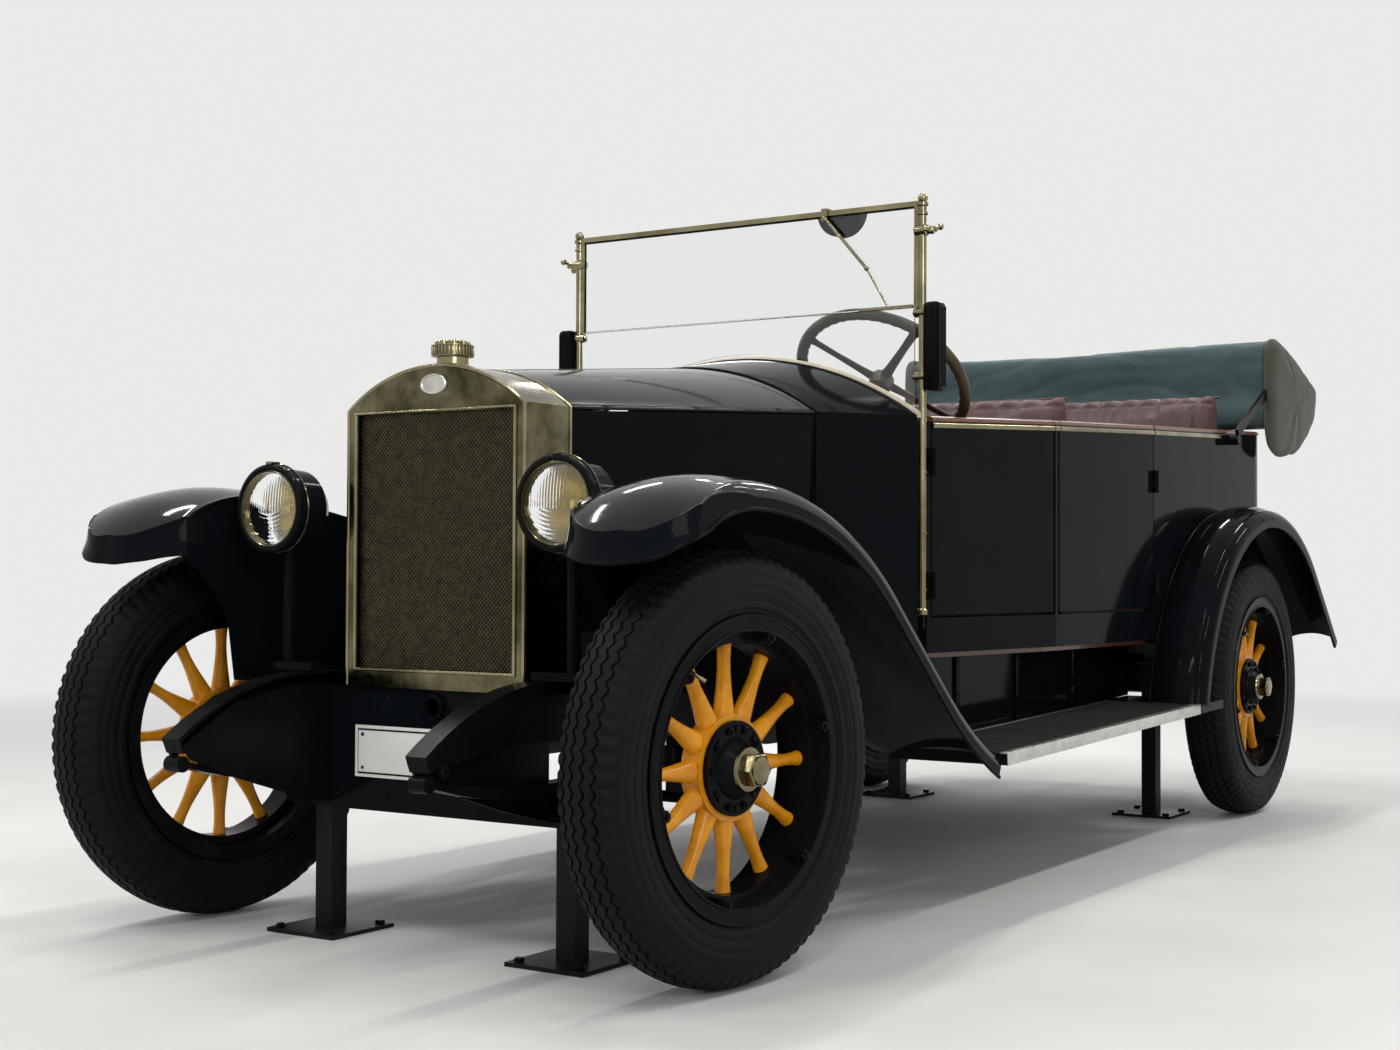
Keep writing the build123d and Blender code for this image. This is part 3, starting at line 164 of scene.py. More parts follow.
class Nodes(Tree):
    """The builder of one material."""

    def __init__(self, name):
        self.material = bpy.data.materials.new(name)
        self.material.use_nodes = True
        super().__init__(self.material.node_tree)
        self.shader = self.tree.nodes["Principled BSDF"]
        self.output = self.tree.nodes["Material Output"]

    def base(self, **values):
        """Set constants on the shader's own sockets."""
        for key, value in values.items():
            self.feed(self.shader.inputs[key.replace("_", " ")], value)

    def coords(self, scale=(1, 1, 1)):
        source = self.add("ShaderNodeTexCoord").outputs["Object"]
        return self.add("ShaderNodeMapping", (("Scale", scale), ("Vector", source))).outputs["Vector"]

    def noise(self, scale, detail, rough, stretch=(1, 1, 1)):
        inputs = (("Scale", scale), ("Detail", detail), ("Roughness", rough), ("Vector", self.coords(stretch)))
        return self.add("ShaderNodeTexNoise", inputs).outputs["Fac"]

    def wave(self, direction, pitch):
        """Slightly uneven parallel ridges, one every pitch metres."""
        inputs = (("Scale", 0.314 / pitch), ("Distortion", 0.3), ("Vector", self.coords()))
        return self.add("ShaderNodeTexWave", inputs, bands_direction=direction).outputs["Fac"]

    def spread(self, source, low, high, source_low=0.3, source_high=0.7):
        """Map a 0 to 1 texture onto a range of numbers."""
        inputs = (("From Min", source_low), ("From Max", source_high), ("To Min", low), ("To Max", high),
                  ("Value", source))
        return self.add("ShaderNodeMapRange", inputs).outputs["Result"]

    def colours(self, source, first, second, low=0.3, high=0.7):
        """Mix two colours by a texture."""
        ramp = self.add("ShaderNodeValToRGB", (("Fac", source),))
        for element, position, colour in zip(ramp.color_ramp.elements, (low, high), (first, second)):
            element.position = position
            element.color = (*colour, 1)
        return ramp.outputs["Color"]

    def worn(self, colour, edge, amount=0.5):
        """Lighter along convex edges, from the mesh's pointiness."""
        share = self.spread(self.add("ShaderNodeNewGeometry").outputs["Pointiness"], 0.0, amount, 0.52, 0.6)
        return self.add("ShaderNodeMix", ((0, share), (6, colour), (7, edge)), data_type="RGBA").outputs[2]

    def bump(self, height, distance, strength, after=None):
        """Bump from a texture, laid over an earlier one."""
        inputs = [("Distance", distance), ("Strength", strength), ("Height", height)]
        if after:
            inputs.append(("Normal", after))
        return self.add("ShaderNodeBump", inputs).outputs["Normal"]

    def finished(self, colour, rough, normal=None):
        """Connect colour, roughness and bump, and return the material."""
        for name, source in (("Base Color", colour), ("Roughness", rough), ("Normal", normal)):
            if source is not None:
                self.feed(self.shader.inputs[name], source)
        return self.material


def enamel(name, dark, light, rough=(0.05, 0.11), specular=0.03):
    """Gloss coach enamel with a faint ripple and hazy patches."""
    n = Nodes(name)
    n.base(Specular_IOR_Level=specular)
    haze = n.noise(5, 5, 0.6)
    ripple = n.bump(n.noise(7, 2, 0.4), 0.0011, 0.3)
    fine = n.bump(n.noise(120, 2, 0.5), 0.0001, 0.3, ripple)
    return n.finished(n.colours(haze, dark, light), n.spread(haze, *rough), fine)


def metal(name, dark, light, rough, scale=30, grain=0.00008, patch=(0.3, 0.7)):
    """Plated or polished metal with smudges, dull patches and fine marks; on the nickel its two base colours, mixed
    by broad noise, also paint broken dark reflections.
    """
    n = Nodes(name)
    n.base(Metallic=1.0)
    # Smudges, and on the nickel painted broken reflections, go into the base colour.
    smudge_and_reflection = n.noise(scale, 3, 0.6)
    haze = n.noise(60, 6, 0.6)
    dents = n.bump(n.noise(16, 3, 0.5), 0.0016, 0.25)
    marks = n.bump(n.noise(260, 3, 0.6), grain, 0.5, dents)
    return n.finished(n.colours(smudge_and_reflection, dark, light, *patch), n.spread(haze, *rough), marks)


def satin(name, dark, light, rough, scale=40, bump=0.0004, edge=None, specular=0.5):
    """Painted or rubbery surface with fine grain."""
    n = Nodes(name)
    n.base(Specular_IOR_Level=specular)
    cloud = n.noise(scale, 6, 0.65)
    grain = n.bump(n.noise(420, 4, 0.6), bump, 0.6)
    colour = n.colours(cloud, dark, light)
    if edge:
        colour = n.worn(colour, edge)
    return n.finished(colour, n.spread(cloud, *rough), grain)


def wood(name, dark, light, rough, stretch, coat=0.4):
    """Varnished wood with grain drawn out along one axis."""
    n = Nodes(name)
    n.base(Coat_Weight=coat, Coat_Roughness=0.08, Specular_IOR_Level=0.25)
    grain = n.noise(22, 8, 0.65, stretch)
    fine = n.bump(grain, 0.0003, 0.4)
    return n.finished(n.colours(grain, dark, light, 0.35, 0.65), n.spread(grain, *rough), fine)


def leather(name, dark, light):
    """Worn hide: fine pebble grain over broad changes of tone, rubbed paler on its raised parts."""
    n = Nodes(name)
    n.base(Specular_IOR_Level=0.4)
    tone = n.noise(7, 5, 0.6)
    pebble = n.add("ShaderNodeTexVoronoi", (("Scale", 520), ("Vector", n.coords()))).outputs["Distance"]
    creases = n.bump(n.noise(38, 7, 0.7), 0.0014, 0.4)
    colour = n.worn(n.colours(tone, dark, light), tuple(c * 1.6 for c in light), 0.6)
    return n.finished(colour, n.spread(tone, 0.4, 0.6), n.bump(pebble, 0.0004, 0.5, creases))


def weave(name, dark, light, pitch=0.0024):
    """Woven hood cloth: threads crossed along all three axes, faded patches and soft creases."""
    n = Nodes(name)
    n.base(Specular_IOR_Level=0.25, Sheen_Weight=0.15, Sheen_Roughness=0.5)
    threads = n.math("ADD", n.wave("X", pitch), n.math("ADD", n.wave("Y", pitch), n.wave("Z", pitch)))
    fade = n.noise(5, 6, 0.65)
    folds = n.bump(n.noise(19, 6, 0.6), 0.006, 0.4)
    colour = n.worn(n.colours(fade, dark, light), tuple(c * 1.5 for c in light), 0.35)
    return n.finished(colour, n.spread(fade, 0.62, 0.85), n.bump(threads, 0.0003, 0.5, folds))


def clear_glass(name, tint, film_rough, specular=0.5):
    """Clear glass with a faint film on it."""
    n = Nodes(name)
    n.base(Base_Color=tint, Transmission_Weight=1.0, IOR=1.45, Specular_IOR_Level=specular)
    return n.finished(None, n.spread(n.noise(11, 5, 0.6), film_rough, film_rough + 0.02))


def mat_rubber(name, dark, light):
    """Board covering greyed by dust in patches."""
    n = Nodes(name)
    n.base(Specular_IOR_Level=0.1)
    dust = n.noise(9, 6, 0.7)
    grain = n.bump(n.noise(700, 3, 0.6), 0.0003, 0.6)
    return n.finished(n.colours(dust, dark, light), n.spread(dust, 0.6, 0.85), grain)


def carpet(name, dark, light):
    """Short looped pile."""
    n = Nodes(name)
    n.base(Sheen_Weight=0.3, Sheen_Roughness=0.6)
    tone = n.noise(14, 6, 0.7)
    loops = n.bump(n.noise(900, 2, 0.6), 0.0016, 0.9)
    return n.finished(n.colours(tone, dark, light), n.spread(tone, 0.8, 0.95), loops)


MATERIALS = {
    "paint": enamel("coach_enamel", (0.0030, 0.0040, 0.0052), (0.0050, 0.0065, 0.0085)),
    "black_metal": enamel("chassis_black", (0.0030, 0.0030, 0.0032), (0.0065, 0.0065, 0.0068), (0.16, 0.34), 0.05),
    # The nickel's dark and light base colours paint broken dark reflections besides smudges.
    "nickel": metal("warm_nickel", (0.16, 0.14, 0.08), (0.33, 0.295, 0.18), (0.13, 0.27), 9),
    "core": metal("tarnished_brass", (0.012, 0.011, 0.008), (0.04, 0.035, 0.022), (0.4, 0.65), 60),
    "tyre": satin("tyre_rubber", (0.0028, 0.0028, 0.0029), (0.0068, 0.0066, 0.0062), (0.5, 0.7), 18, 0.0005,
                  (0.014, 0.0136, 0.013), 0.1),
    "spoke_wood": wood("amber_spokes", (0.52, 0.19, 0.003), (0.72, 0.30, 0.008), (0.26, 0.4), (1, 1, 1), 0.12),
    "trim_wood": wood("brown_wood", (0.10, 0.034, 0.016), (0.19, 0.07, 0.034), (0.25, 0.4), (1, 6, 6)),
    "glass": clear_glass("screen_glass", (0.95, 0.975, 0.965), 0.0, 0.12),
    "lens": clear_glass("lamp_glass", (0.95, 0.87, 0.54), 0.03),
    "leather": leather("oxblood_leather", (0.040, 0.017, 0.018), (0.080, 0.036, 0.038)),
    "canvas": weave("hood_cloth", (0.038, 0.065, 0.072), (0.070, 0.110, 0.117)),
    "iron": satin("cast_iron", (0.02, 0.019, 0.018), (0.045, 0.042, 0.038), (0.5, 0.75), 25, 0.001),
    "plate": satin("blank_plate", (0.70, 0.69, 0.64), (0.80, 0.79, 0.75), (0.3, 0.45), 12),
    "stand": enamel("stand_black", (0.005, 0.005, 0.005), (0.011, 0.011, 0.011), (0.28, 0.45), 0.1),
    "red_lens": enamel("red_lens", (0.16, 0.004, 0.004), (0.26, 0.008, 0.008), (0.1, 0.2), 0.3),
}
SLOT_OF = {material.name: slot for slot, material in MATERIALS.items()}


def extra(slot, material):
    """A finish of the scene's own that belongs to one of the record's slots."""
    SLOT_OF[material.name] = slot
    return material


NICKEL, PAINT, BLACK, LEATHER = (MATERIALS[slot] for slot in ("nickel", "paint", "black_metal", "leather"))
TRIM_WOOD = MATERIALS["trim_wood"]
# A darker, more contrasted copy of the nickel for the radiator shell and lamp rings: painted dark reflections.
PAINTED_REFLECTION_NICKEL = extra("nickel", metal("painted_reflection_nickel", (0.045, 0.040, 0.018), (0.18, 0.16, 0.09), (0.10, 0.22), 9,
                                     patch=(0.38, 0.62)))
ALUMINIUM = extra("nickel", metal("board_edge", (0.50, 0.49, 0.46), (0.68, 0.67, 0.63), (0.24, 0.42)))
SILVER = extra("nickel", metal("reflector_silver", (0.66, 0.60, 0.42), (0.78, 0.72, 0.53), (0.26, 0.40), 20))
CORE_WIRE = extra("core", metal("core_wire", (0.065, 0.061, 0.038), (0.17, 0.155, 0.095), (0.3, 0.5), 80))
# Lighter, bluer copy of the coach enamel for upward faces: a painted highlight of the light falling on the tops.
LIT_TOP_PAINT = extra("paint", enamel("lit_upper_enamel", (0.0040, 0.0056, 0.0070), (0.0070, 0.0095, 0.0120),
                                  specular=0.2))
RIM_WOOD = extra("trim_wood", wood("rim_wood", (0.036, 0.026, 0.014), (0.075, 0.055, 0.030), (0.35, 0.5),
                                   (1, 1, 1), 0.08))
BEIGE = extra("trim_wood", satin("beige_bead", (0.42, 0.36, 0.26), (0.55, 0.48, 0.36), (0.4, 0.6), 30))
BAG_CLOTH = extra("canvas", weave("bag_cloth", (0.034, 0.037, 0.025), (0.060, 0.064, 0.043)))
MAT = extra("black_metal", mat_rubber("board_mat", (0.012, 0.012, 0.012), (0.032, 0.031, 0.027)))
CARPET = extra("leather", carpet("floor_carpet", (0.020, 0.016, 0.013), (0.045, 0.037, 0.030)))
DIAL = extra("plate", satin("dial_face", (0.60, 0.58, 0.50), (0.70, 0.68, 0.60), (0.4, 0.5), 50))

# The radiator shell takes the nickel with painted dark reflections; the bonnet tops take the lighter enamel copy, a
# painted highlight.
OWN_FINISH = {"radiator_shell": PAINTED_REFLECTION_NICKEL, "bonnet_top_left": LIT_TOP_PAINT, "bonnet_top_right": LIT_TOP_PAINT}
for row in frame["record"]["subparts"]:
    slots = NODES[row["node"]].data.materials
    slots.clear()
    slots.append(OWN_FINISH.get(row["node"], MATERIALS[row["material_slot"]]))


# Mesh building


class Shape:
    """Points and faces of one piece, added up from turned, swept and boxed parts."""

    def __init__(self, matrix=None):
        self.points = []
        self.faces = []
        self.matrix = matrix or Matrix.Identity(4)

    def put(self, points, faces, matrix=None):
        turn = self.matrix @ matrix if matrix else self.matrix
        start = len(self.points)
        self.points += [turn @ Vector(p) for p in points]
        self.faces += [tuple(i + start for i in face) for face in faces]

    def rings(self, rings, closed_round=True, closed_along=False, capped=False, matrix=None):
        """Skin over rows of points, each row as long as the others."""
        count, width = len(rings), len(rings[0])
        faces = []
        for i in range(count if closed_along else count - 1):
            for j in range(width if closed_round else width - 1):
                a, b = i * width + j, i * width + (j + 1) % width
                c, d = ((i + 1) % count) * width + (j + 1) % width, ((i + 1) % count) * width + j
                faces.append((a, b, c, d))
        if capped:
            faces.append(tuple(reversed(range(width))))
            faces.append(tuple((count - 1) * width + j for j in range(width)))
        self.put([p for ring in rings for p in ring], faces, matrix)

    def turned(self, profile, matrix=None, count=32, capped=True, closed=False):
        """Solid turned about the local X axis from (x, radius) points."""
        rings = [[(x, r * c, r * s) for c, s in circle(count)] for x, r in profile]
        self.rings(rings, capped=capped and not closed, closed_along=closed, matrix=matrix)

    def hexagon(self, low, high, radius, matrix=None, chamfer=0.0015):
        """Hexagonal nut or bolt head standing along the local X axis, with bevelled rims."""
        self.turned([(low, radius), (high - chamfer, radius), (high, radius - chamfer * 1.6)], matrix, 6)

    def swept(self, path, section, up, closed=False):
        """Section of (side, up) points led along a path, with one up direction."""
        count = len(path)
        up = Vector(up)
        rings = []
        for i, point in enumerate(path):
            before = path[i - 1] if i or closed else path[0]
            after = path[(i + 1) % count] if i + 1 < count or closed else path[-1]
            ahead = (after - before).normalized()
            side = ahead.cross(up).normalized()
            above = side.cross(ahead).normalized()
            widen = 1.0
            if (i and i + 1 < count) or closed:
                bend = (point - before).normalized().dot((after - point).normalized())
                widen = min(1.6, 1 / max(0.4, sqrt((1 + bend) / 2)))
            rings.append([point + side * (a * widen) + above * b for a, b in section])
        self.rings(rings, closed_along=closed, capped=not closed)

    def tube(self, path, radius, up=(0.13, 0.2, 0.97), closed=False, sides=10, flat=1.0):
        """Round or flattened bar along a path."""
        self.swept(path, ellipse(radius, radius * flat, sides), up, closed)

    def box(self, low, high, edge=0.001, matrix=None):
        """Block with bevelled edges between two corners."""
        mesh = bmesh.new()
        bmesh.ops.create_cube(mesh, size=1)
        size = [b - a for a, b in zip(low, high)]
        for vertex in mesh.verts:
            vertex.co = Vector([a + (c + 0.5) * s for a, c, s in zip(low, vertex.co, size)])
        if edge:
            offset = min(edge, min(map(abs, size)) * 0.45)
            bmesh.ops.bevel(mesh, geom=mesh.edges[:], offset=offset, segments=2, profile=0.5, affect="EDGES")
        mesh.verts.ensure_lookup_table()
        mesh.verts.index_update()
        self.put([v.co[:] for v in mesh.verts], [[v.index for v in f.verts] for f in mesh.faces], matrix)
        mesh.free()

    def mirrored(self):
        """Add the same parts on the car's other side."""
        start = len(self.points)
        self.points += [Vector((p.x, -p.y, p.z)) for p in self.points]
        self.faces += [tuple(i + start for i in reversed(face)) for face in self.faces]
        return self

    def made(self, name, material, body=CHASSIS, sharp=32):
        """Turn the gathered parts into one piece with its material, riding on a body."""
        mesh = bpy.data.meshes.new(name)
        mesh.from_pydata([tuple(p) for p in self.points], [], self.faces)
        mesh.validate()
        mesh.materials.append(material)
        piece = bpy.data.objects.new(name, mesh)
        SCENE.collection.objects.link(piece)
        smooth(mesh, sharp)
        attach(piece, body)
        return piece


def ellipse(side, up, count=10):
    """Section of a bead or a bar."""
    return [(side * c, up * s) for c, s in circle(count)]


def smooth(mesh, sharp=None):
    """Shade a mesh smooth, with sharp edges above an angle in degrees."""
    for polygon in mesh.polygons:
        polygon.use_smooth = True
    if sharp:
        mesh.set_sharp_from_angle(angle=radians(sharp))


# Wheels


def wheel_matrix(corner):
    """Where a wheel stands, with its axle along the local X axis and its outer face towards +X."""
    side = 1 if corner.endswith("left") else -1
    front = corner.startswith("front")
    rest = Matrix.Translation(place(0 if front else -WHEELBASE, side * HALF_TRACK, TYRE_RADIUS))
    rest = rest @ Matrix.Rotation(side * pi / 2, 4, "Z")
    if not front:
        return rest
    pin = Matrix.Translation(place(0, side * KINGPIN_Y, 0))
    return pin @ Matrix.Rotation(REST_STEER, 4, "Z") @ pin.inverted() @ rest


CORNERS = ("front_left", "front_right", "rear_left", "rear_right")
SPARE_MATRIX = spot(-3538, 0, 700, "Z", pi)

TREAD_PERIODS = 84
SAMPLES = 5
GROOVE_DEPTH = 0.0055
GROOVES = (-0.033, -0.0115, 0.0115, 0.033)
CENTRE_DIP = 0.0012


def crown(x):
    """Radius of the tyre's crown at a distance from its middle."""
    return TYRE_RADIUS - 0.012 * (x / 0.052) ** 2


def tyre_columns(step):
    """One cross line of the tyre as (x, radius): sidewall ribs, shoulder blocks and zigzag grooves."""
    phase = step % SAMPLES / SAMPLES
    swing = 0.0048 * (1 - 4 * abs(phase - 0.5))
    cut = 0.0045 if step % SAMPLES in (0, 1) else 0.0
    side = [(0.0535, 0.2695), (0.0575, 0.2745), (0.0585, 0.281), (0.0622, 0.284), (0.0632, 0.292), (0.0618, 0.2945),
            (0.0645, 0.305), (0.0655, 0.314), (0.0642, 0.3165), (0.0657, 0.322), (0.0654, 0.333), (0.0636, 0.3355),
            (0.0640, 0.341), (0.0622, 0.352)]
    shoulder = [(0.0600, 0.3565 - cut * 0.3), (0.0570, 0.366 - cut), (0.0518, crown(0.0518) - 0.0005 - cut),
                (0.0440, crown(0.044) - cut)]
    tread = []
    for middle in GROOVES:
        at = middle + swing
        for offset, deep in ((-0.0030, 0), (-0.0020, 1), (0.0020, 1), (0.0030, 0)):
            tread.append((at + offset, crown(at + offset) - deep * GROOVE_DEPTH))
    tread.insert(8, (swing * 0.6, TYRE_RADIUS - CENTRE_DIP))
    edge = side + shoulder
    return [(-x, r) for x, r in edge] + tread + edge[::-1]


def make_tyre(name, matrix, body, node):
    """Tyre with a cut tread, standing for the CAD tyre."""
    shape = Shape(matrix)
    rings = [[(x, r * c, r * s) for x, r in tyre_columns(step)]
             for step, (c, s) in enumerate(circle(TREAD_PERIODS * SAMPLES))]
    shape.rings(rings, closed_round=False, closed_along=True)
    piece = shape.made(name, MATERIALS["tyre"], body, 40)
    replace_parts(piece, node)


def make_wheel_trim(corner):
    """Nickel hub cap, flange nuts, rim beads, lug bolts and valve of one wheel."""
    body = f"wheel_{corner}_body"
    matrix = wheel_matrix(corner)
    cap = Shape(matrix)
    cap.turned([(0.0525, 0.0395), (0.0545, 0.0402), (0.0585, 0.0385), (0.0605, 0.0345), (0.0605, 0.030)], count=40)
    cap.hexagon(0.0600, 0.0835, 0.0315, chamfer=0.002)
    cap.turned([(0.083, 0.0255), (0.0848, 0.0245), (0.0862, 0.0205), (0.0868, 0.012), (0.087, 0.001)], count=36)
    cap.made(f"hub_cap_{corner}", NICKEL, body)
    dark = Shape(matrix)
    dark.turned([(0.0285, 0.0835), (0.0302, 0.0825), (0.0306, 0.0775), (0.0290, 0.0765)], count=48, closed=True)
    dark.turned([(0.029, 0.0555), (0.0345, 0.0535), (0.0430, 0.0465), (0.0530, 0.0405)], count=40, capped=False)
    for turn in around(10, 0.0695):
        dark.hexagon(0.0285, 0.0365, 0.0078, turn, 0.001)
        dark.turned([(0.036, 0.0036), (0.0392, 0.0034), (0.0398, 0.0020)], turn, 10)
    for r, x in ((0.2695, 0.0590), (0.2445, 0.0598)):
        dark.turned([(x + a, r + b) for a, b in ellipse(0.0028, 0.0028, 8)], count=96, closed=True)
    for turn in around(6, 0.236, radians(15)):
        dark.hexagon(0.0495, 0.0615, 0.0112, turn)
        dark.turned([(0.061, 0.0052), (0.0655, 0.0050), (0.0663, 0.0036)], turn, 12)
    dark.made(f"wheel_nuts_{corner}", BLACK, body)
    valve = Shape(matrix @ Matrix.Rotation(radians(128), 4, "X"))
    valve.tube([Vector((0.028, 0.228, 0)), Vector((0.040, 0.219, 0)), Vector((0.052, 0.207, 0))], 0.0034)
    valve.tube([Vector((0.050, 0.209, 0)), Vector((0.058, 0.201, 0))], 0.0048)
    valve.made(f"valve_{corner}", NICKEL, body)


for corner in CORNERS:
    make_tyre(f"tread_{corner}", wheel_matrix(corner), f"wheel_{corner}_body", f"tyre_{corner}")
    make_wheel_trim(corner)
make_tyre("tread_spare", SPARE_MATRIX, CHASSIS, "spare_tyre")


# Radiator: woven core, beads and cap
CORE_X = 0.034
CORE_HALF = 0.200
CORE_LOW, CORE_HIGH = 0.537, 1.040
CORE_PITCH = 0.0092
WIRE = 0.0013
BOSS_STRETCH = 1.62


def make_core():
    """Diagonal wires crossing in two layers in front of the dark core."""
    shape = Shape()
    height, width = CORE_HIGH - CORE_LOW, 2 * CORE_HALF
    for layer, slope in ((0, 1), (1, -1)):
        x = CORE_X + layer * WIRE * 1.7
        count = int((width + height) / CORE_PITCH)
        for k in range(count + 1):
            run = k * CORE_PITCH
            first = (min(run, width), max(0.0, run - width))
            last = (max(0.0, run - height), min(run, height))
            if abs(first[0] - last[0]) < 0.004:
                continue
            ends = [place(x, slope * (a - CORE_HALF), CORE_LOW + b) for a, b in (first, last)]
            shape.tube(ends, WIRE, up=(1, 0, 0), sides=6)
    shape.made("radiator_mesh", CORE_WIRE)


def arch(half, shoulder, crown_z, x, foot, count=28):
    """Points over an arch, from its left foot up to its shoulder and down again on the right."""
    rise = crown_z - shoulder
    radius = (half ** 2 + rise ** 2) / (2 * rise)
    spread = atan2(half, radius - rise)
    angles = [spread * (1 - 2 * k / count) for k in range(count + 1)]
    points = [mm(x, radius * sin(angle), crown_z - radius + radius * cos(angle)) for angle in angles]
    middle = (foot + shoulder) / 2
    return [mm(x, half, foot), mm(x, half, middle)] + points + [mm(x, -half, middle), mm(x, -half, foot)]


def make_radiator_trim():
    """Nickel beads round the shell's faces, the core's frame, the cap with its knurl and lobes, and a plain boss."""
    trim = Shape()
    trim.tube(arch(223, 1049, 1129.5, 46.5, 503), 0.0042, up=(1, 0, 0))
    trim.tube(arch(226.5, 1050, 1132, -92, 503), 0.0030, up=(1, 0, 0))
    half, low, high = CORE_HALF + 0.002, CORE_LOW - 0.002, CORE_HIGH + 0.002
    window = [place(0.0485, y, z) for y, z in ((half, low), (half, high), (-half, high), (-half, low))]
    trim.tube(window, 0.0042, up=(1, 0, 0), closed=True)
    upright = spot(-7, 0, 0, "Y", -pi / 2)
    trim.turned([(1.128, 0.044), (1.131, 0.044), (1.133, 0.036), (1.136, 0.0315), (1.150, 0.0312)], upright, 48)
    for turn in around(36, 0):
        trim.box((1.1525, 0.0385, -0.0018), (1.1715, 0.0422, 0.0018), 0.0008, upright @ turn)
    trim.turned([(1.1495, 0.036), (1.1510, 0.0415), (1.1525, 0.042), (1.1530, 0.0400)], upright, 48)
    trim.turned([(1.1710, 0.0400), (1.1718, 0.0425), (1.1732, 0.0425), (1.1745, 0.036)], upright, 48)
    for turn in around(8, 0.027):
        trim.turned([(1.1725, 0.0085), (1.1800, 0.0085), (1.1822, 0.0066), (1.1830, 0.0030)], upright @ turn, 12)
    trim.turned([(1.1725, 0.0262), (1.1812, 0.0255), (1.1830, 0.018), (1.1838, 0.004)], upright, 40)
    trim.made("radiator_trim", NICKEL)
    boss = Shape(spot(46, 0, 1093) @ Matrix.Diagonal((1, BOSS_STRETCH, 1, 1)))
    boss.turned([(-0.001, 0.0205), (0.0052, 0.0205), (0.0075, 0.0190), (0.0078, 0.0172), (0.0060, 0.0160),
                 (0.0072, 0.009), (0.0076, 0.0005)], count=48)
    boss.made("radiator_boss", ALUMINIUM)


make_core()
make_radiator_trim()


# Headlamps
LAMP_X, LAMP_Y, LAMP_Z = 120, 360, 854
LENS_R, LENS_RINGS, FLUTE_DEPTH = 0.0735, 30, 0.0010
BOWL_R = 0.0725


def lens_mesh(side):
    """Moulded lamp glass: upright flutes above, rings below, standing for the CAD lens."""
    rings, around_lens = [], circle(120)
    for j in range(LENS_RINGS + 1):
        r = LENS_R * j / LENS_RINGS
        dome = 0.0045 + 0.0105 * (1 - (r / LENS_R) ** 2)
        depth = FLUTE_DEPTH if j < LENS_RINGS - 1 else 0
        ring = []
        for c, s in around_lens:
            y, z = r * c, r * s
            upper = abs(sin(pi * y / 0.0070))
            lower = abs(sin(pi * sqrt(y * y + (z - 0.05) ** 2) / 0.0080))
            share = clamped((z + 0.012) / 0.006)
            ring.append((dome - depth * (upper * share + lower * (1 - share)), y, z))
        rings.append(ring)
    back = [[(0.0012, r * c, r * s) for c, s in around_lens] for r in (LENS_R, 0.0001)]
    shape = Shape(spot(LAMP_X, side * LAMP_Y, LAMP_Z))
    shape.rings(rings + back)
    piece = shape.made(f"lens_{SIDES[side]}", MATERIALS["lens"], sharp=60)
    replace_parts(piece, "headlamp_lenses")


def make_lamps():
    """Reflectors, bulbs, thin rings, clips and black bezels of both headlamps."""
    silver, ring, bulb, black = Shape(), Shape(), Shape(), Shape()
    bowl = [(-0.004 - 0.076 * (1 - (r / BOWL_R) ** 2), r) for r in (0.004, 0.014, 0.026, 0.038, 0.050, 0.061, BOWL_R)]
    for side in SIDES:
        at = spot(LAMP_X, side * LAMP_Y, LAMP_Z)
        silver.turned(bowl, at, 64, capped=False)
        ring.turned([(0.0030, 0.0725), (0.0125, 0.0735), (0.0136, 0.0752), (0.0126, 0.0772), (0.010, 0.0775)],
                    at, 72, closed=True)
        ring.turned([(-0.0070, 0.0845), (-0.0068, 0.0903), (-0.0085, 0.0915), (-0.0105, 0.0903),
                     (-0.0108, 0.0845)], at, 72, closed=True)
        ring.box((-0.012, -0.008, 0.0885), (0.0145, 0.008, 0.0945), 0.0015, at)
        bulb.turned([(-0.078, 0.012), (-0.058, 0.012), (-0.056, 0.006), (-0.052, 0.008), (-0.046, 0.0125),
                     (-0.038, 0.0135), (-0.031, 0.010), (-0.028, 0.001)], at, 24)
        black.turned([(0.0118, 0.0765), (0.0150, 0.0785), (0.0158, 0.0820), (0.0142, 0.0868), (0.0100, 0.0892),
                      (0.0040, 0.0896), (0.0040, 0.0765)], at, 72, closed=True)
    silver.made("reflectors", SILVER, sharp=60)
    # The lamp rings take the nickel copy with painted dark reflections.
    ring.made("lamp_rings", PAINTED_REFLECTION_NICKEL)
    bulb.made("lamp_bulbs", SILVER)
    black.made("lamp_bezels", BLACK, sharp=50)


make_lamps()
for side in SIDES:
    lens_mesh(side)


# Body trim
BODY_PLAN = ((-1093, 496.8), (-1650, 580), (-2290, 605), (-3220, 604))
CORNER_X, CORNER_Y, CORNER_R = -3220, 404, 200
WALL = 32
DOOR_SPANS = {"door_front": (-1113, -1639), "door_rear": (-1674, -2285)}


def belt(station):
    """Height of the body's top edge at a station, in millimetres."""
    return 1078 + 0.0435 * (-1081 - station)


def skin_y(station):
    """Half width of the body's outer face at a station, in millimetres."""
    for (x0, y0), (x1, y1) in zip(BODY_PLAN, BODY_PLAN[1:]):
        if x1 <= station <= x0:
            return y0 + (y1 - y0) * (station - x0) / (x1 - x0)
    return BODY_PLAN[-1][1]


def wall_path(front, rear, inset, drop, side=1, level=None):
    """Line along one wall, inset from its outer face and below its top edge, or at one level."""
    stations = [front] + [x for x, _ in BODY_PLAN if rear < x < front] + [rear]
    return [mm(x, side * (skin_y(x) - inset), level or belt(x) - drop) for x in stations]


def back_path(front, inset, drop, level=None):
    """Line from the left wall round the back to the right wall."""
    left = wall_path(front, CORNER_X, inset, drop, 1, level)
    for k in range(1, 13):
        angle = radians(90) * k / 12
        x = CORNER_X - (CORNER_R - inset) * sin(angle)
        left.append(mm(x, CORNER_Y + (CORNER_R - inset) * cos(angle), level or belt(x) - drop))
    return left + [Vector((p.x, -p.y, p.z)) for p in reversed(left)]


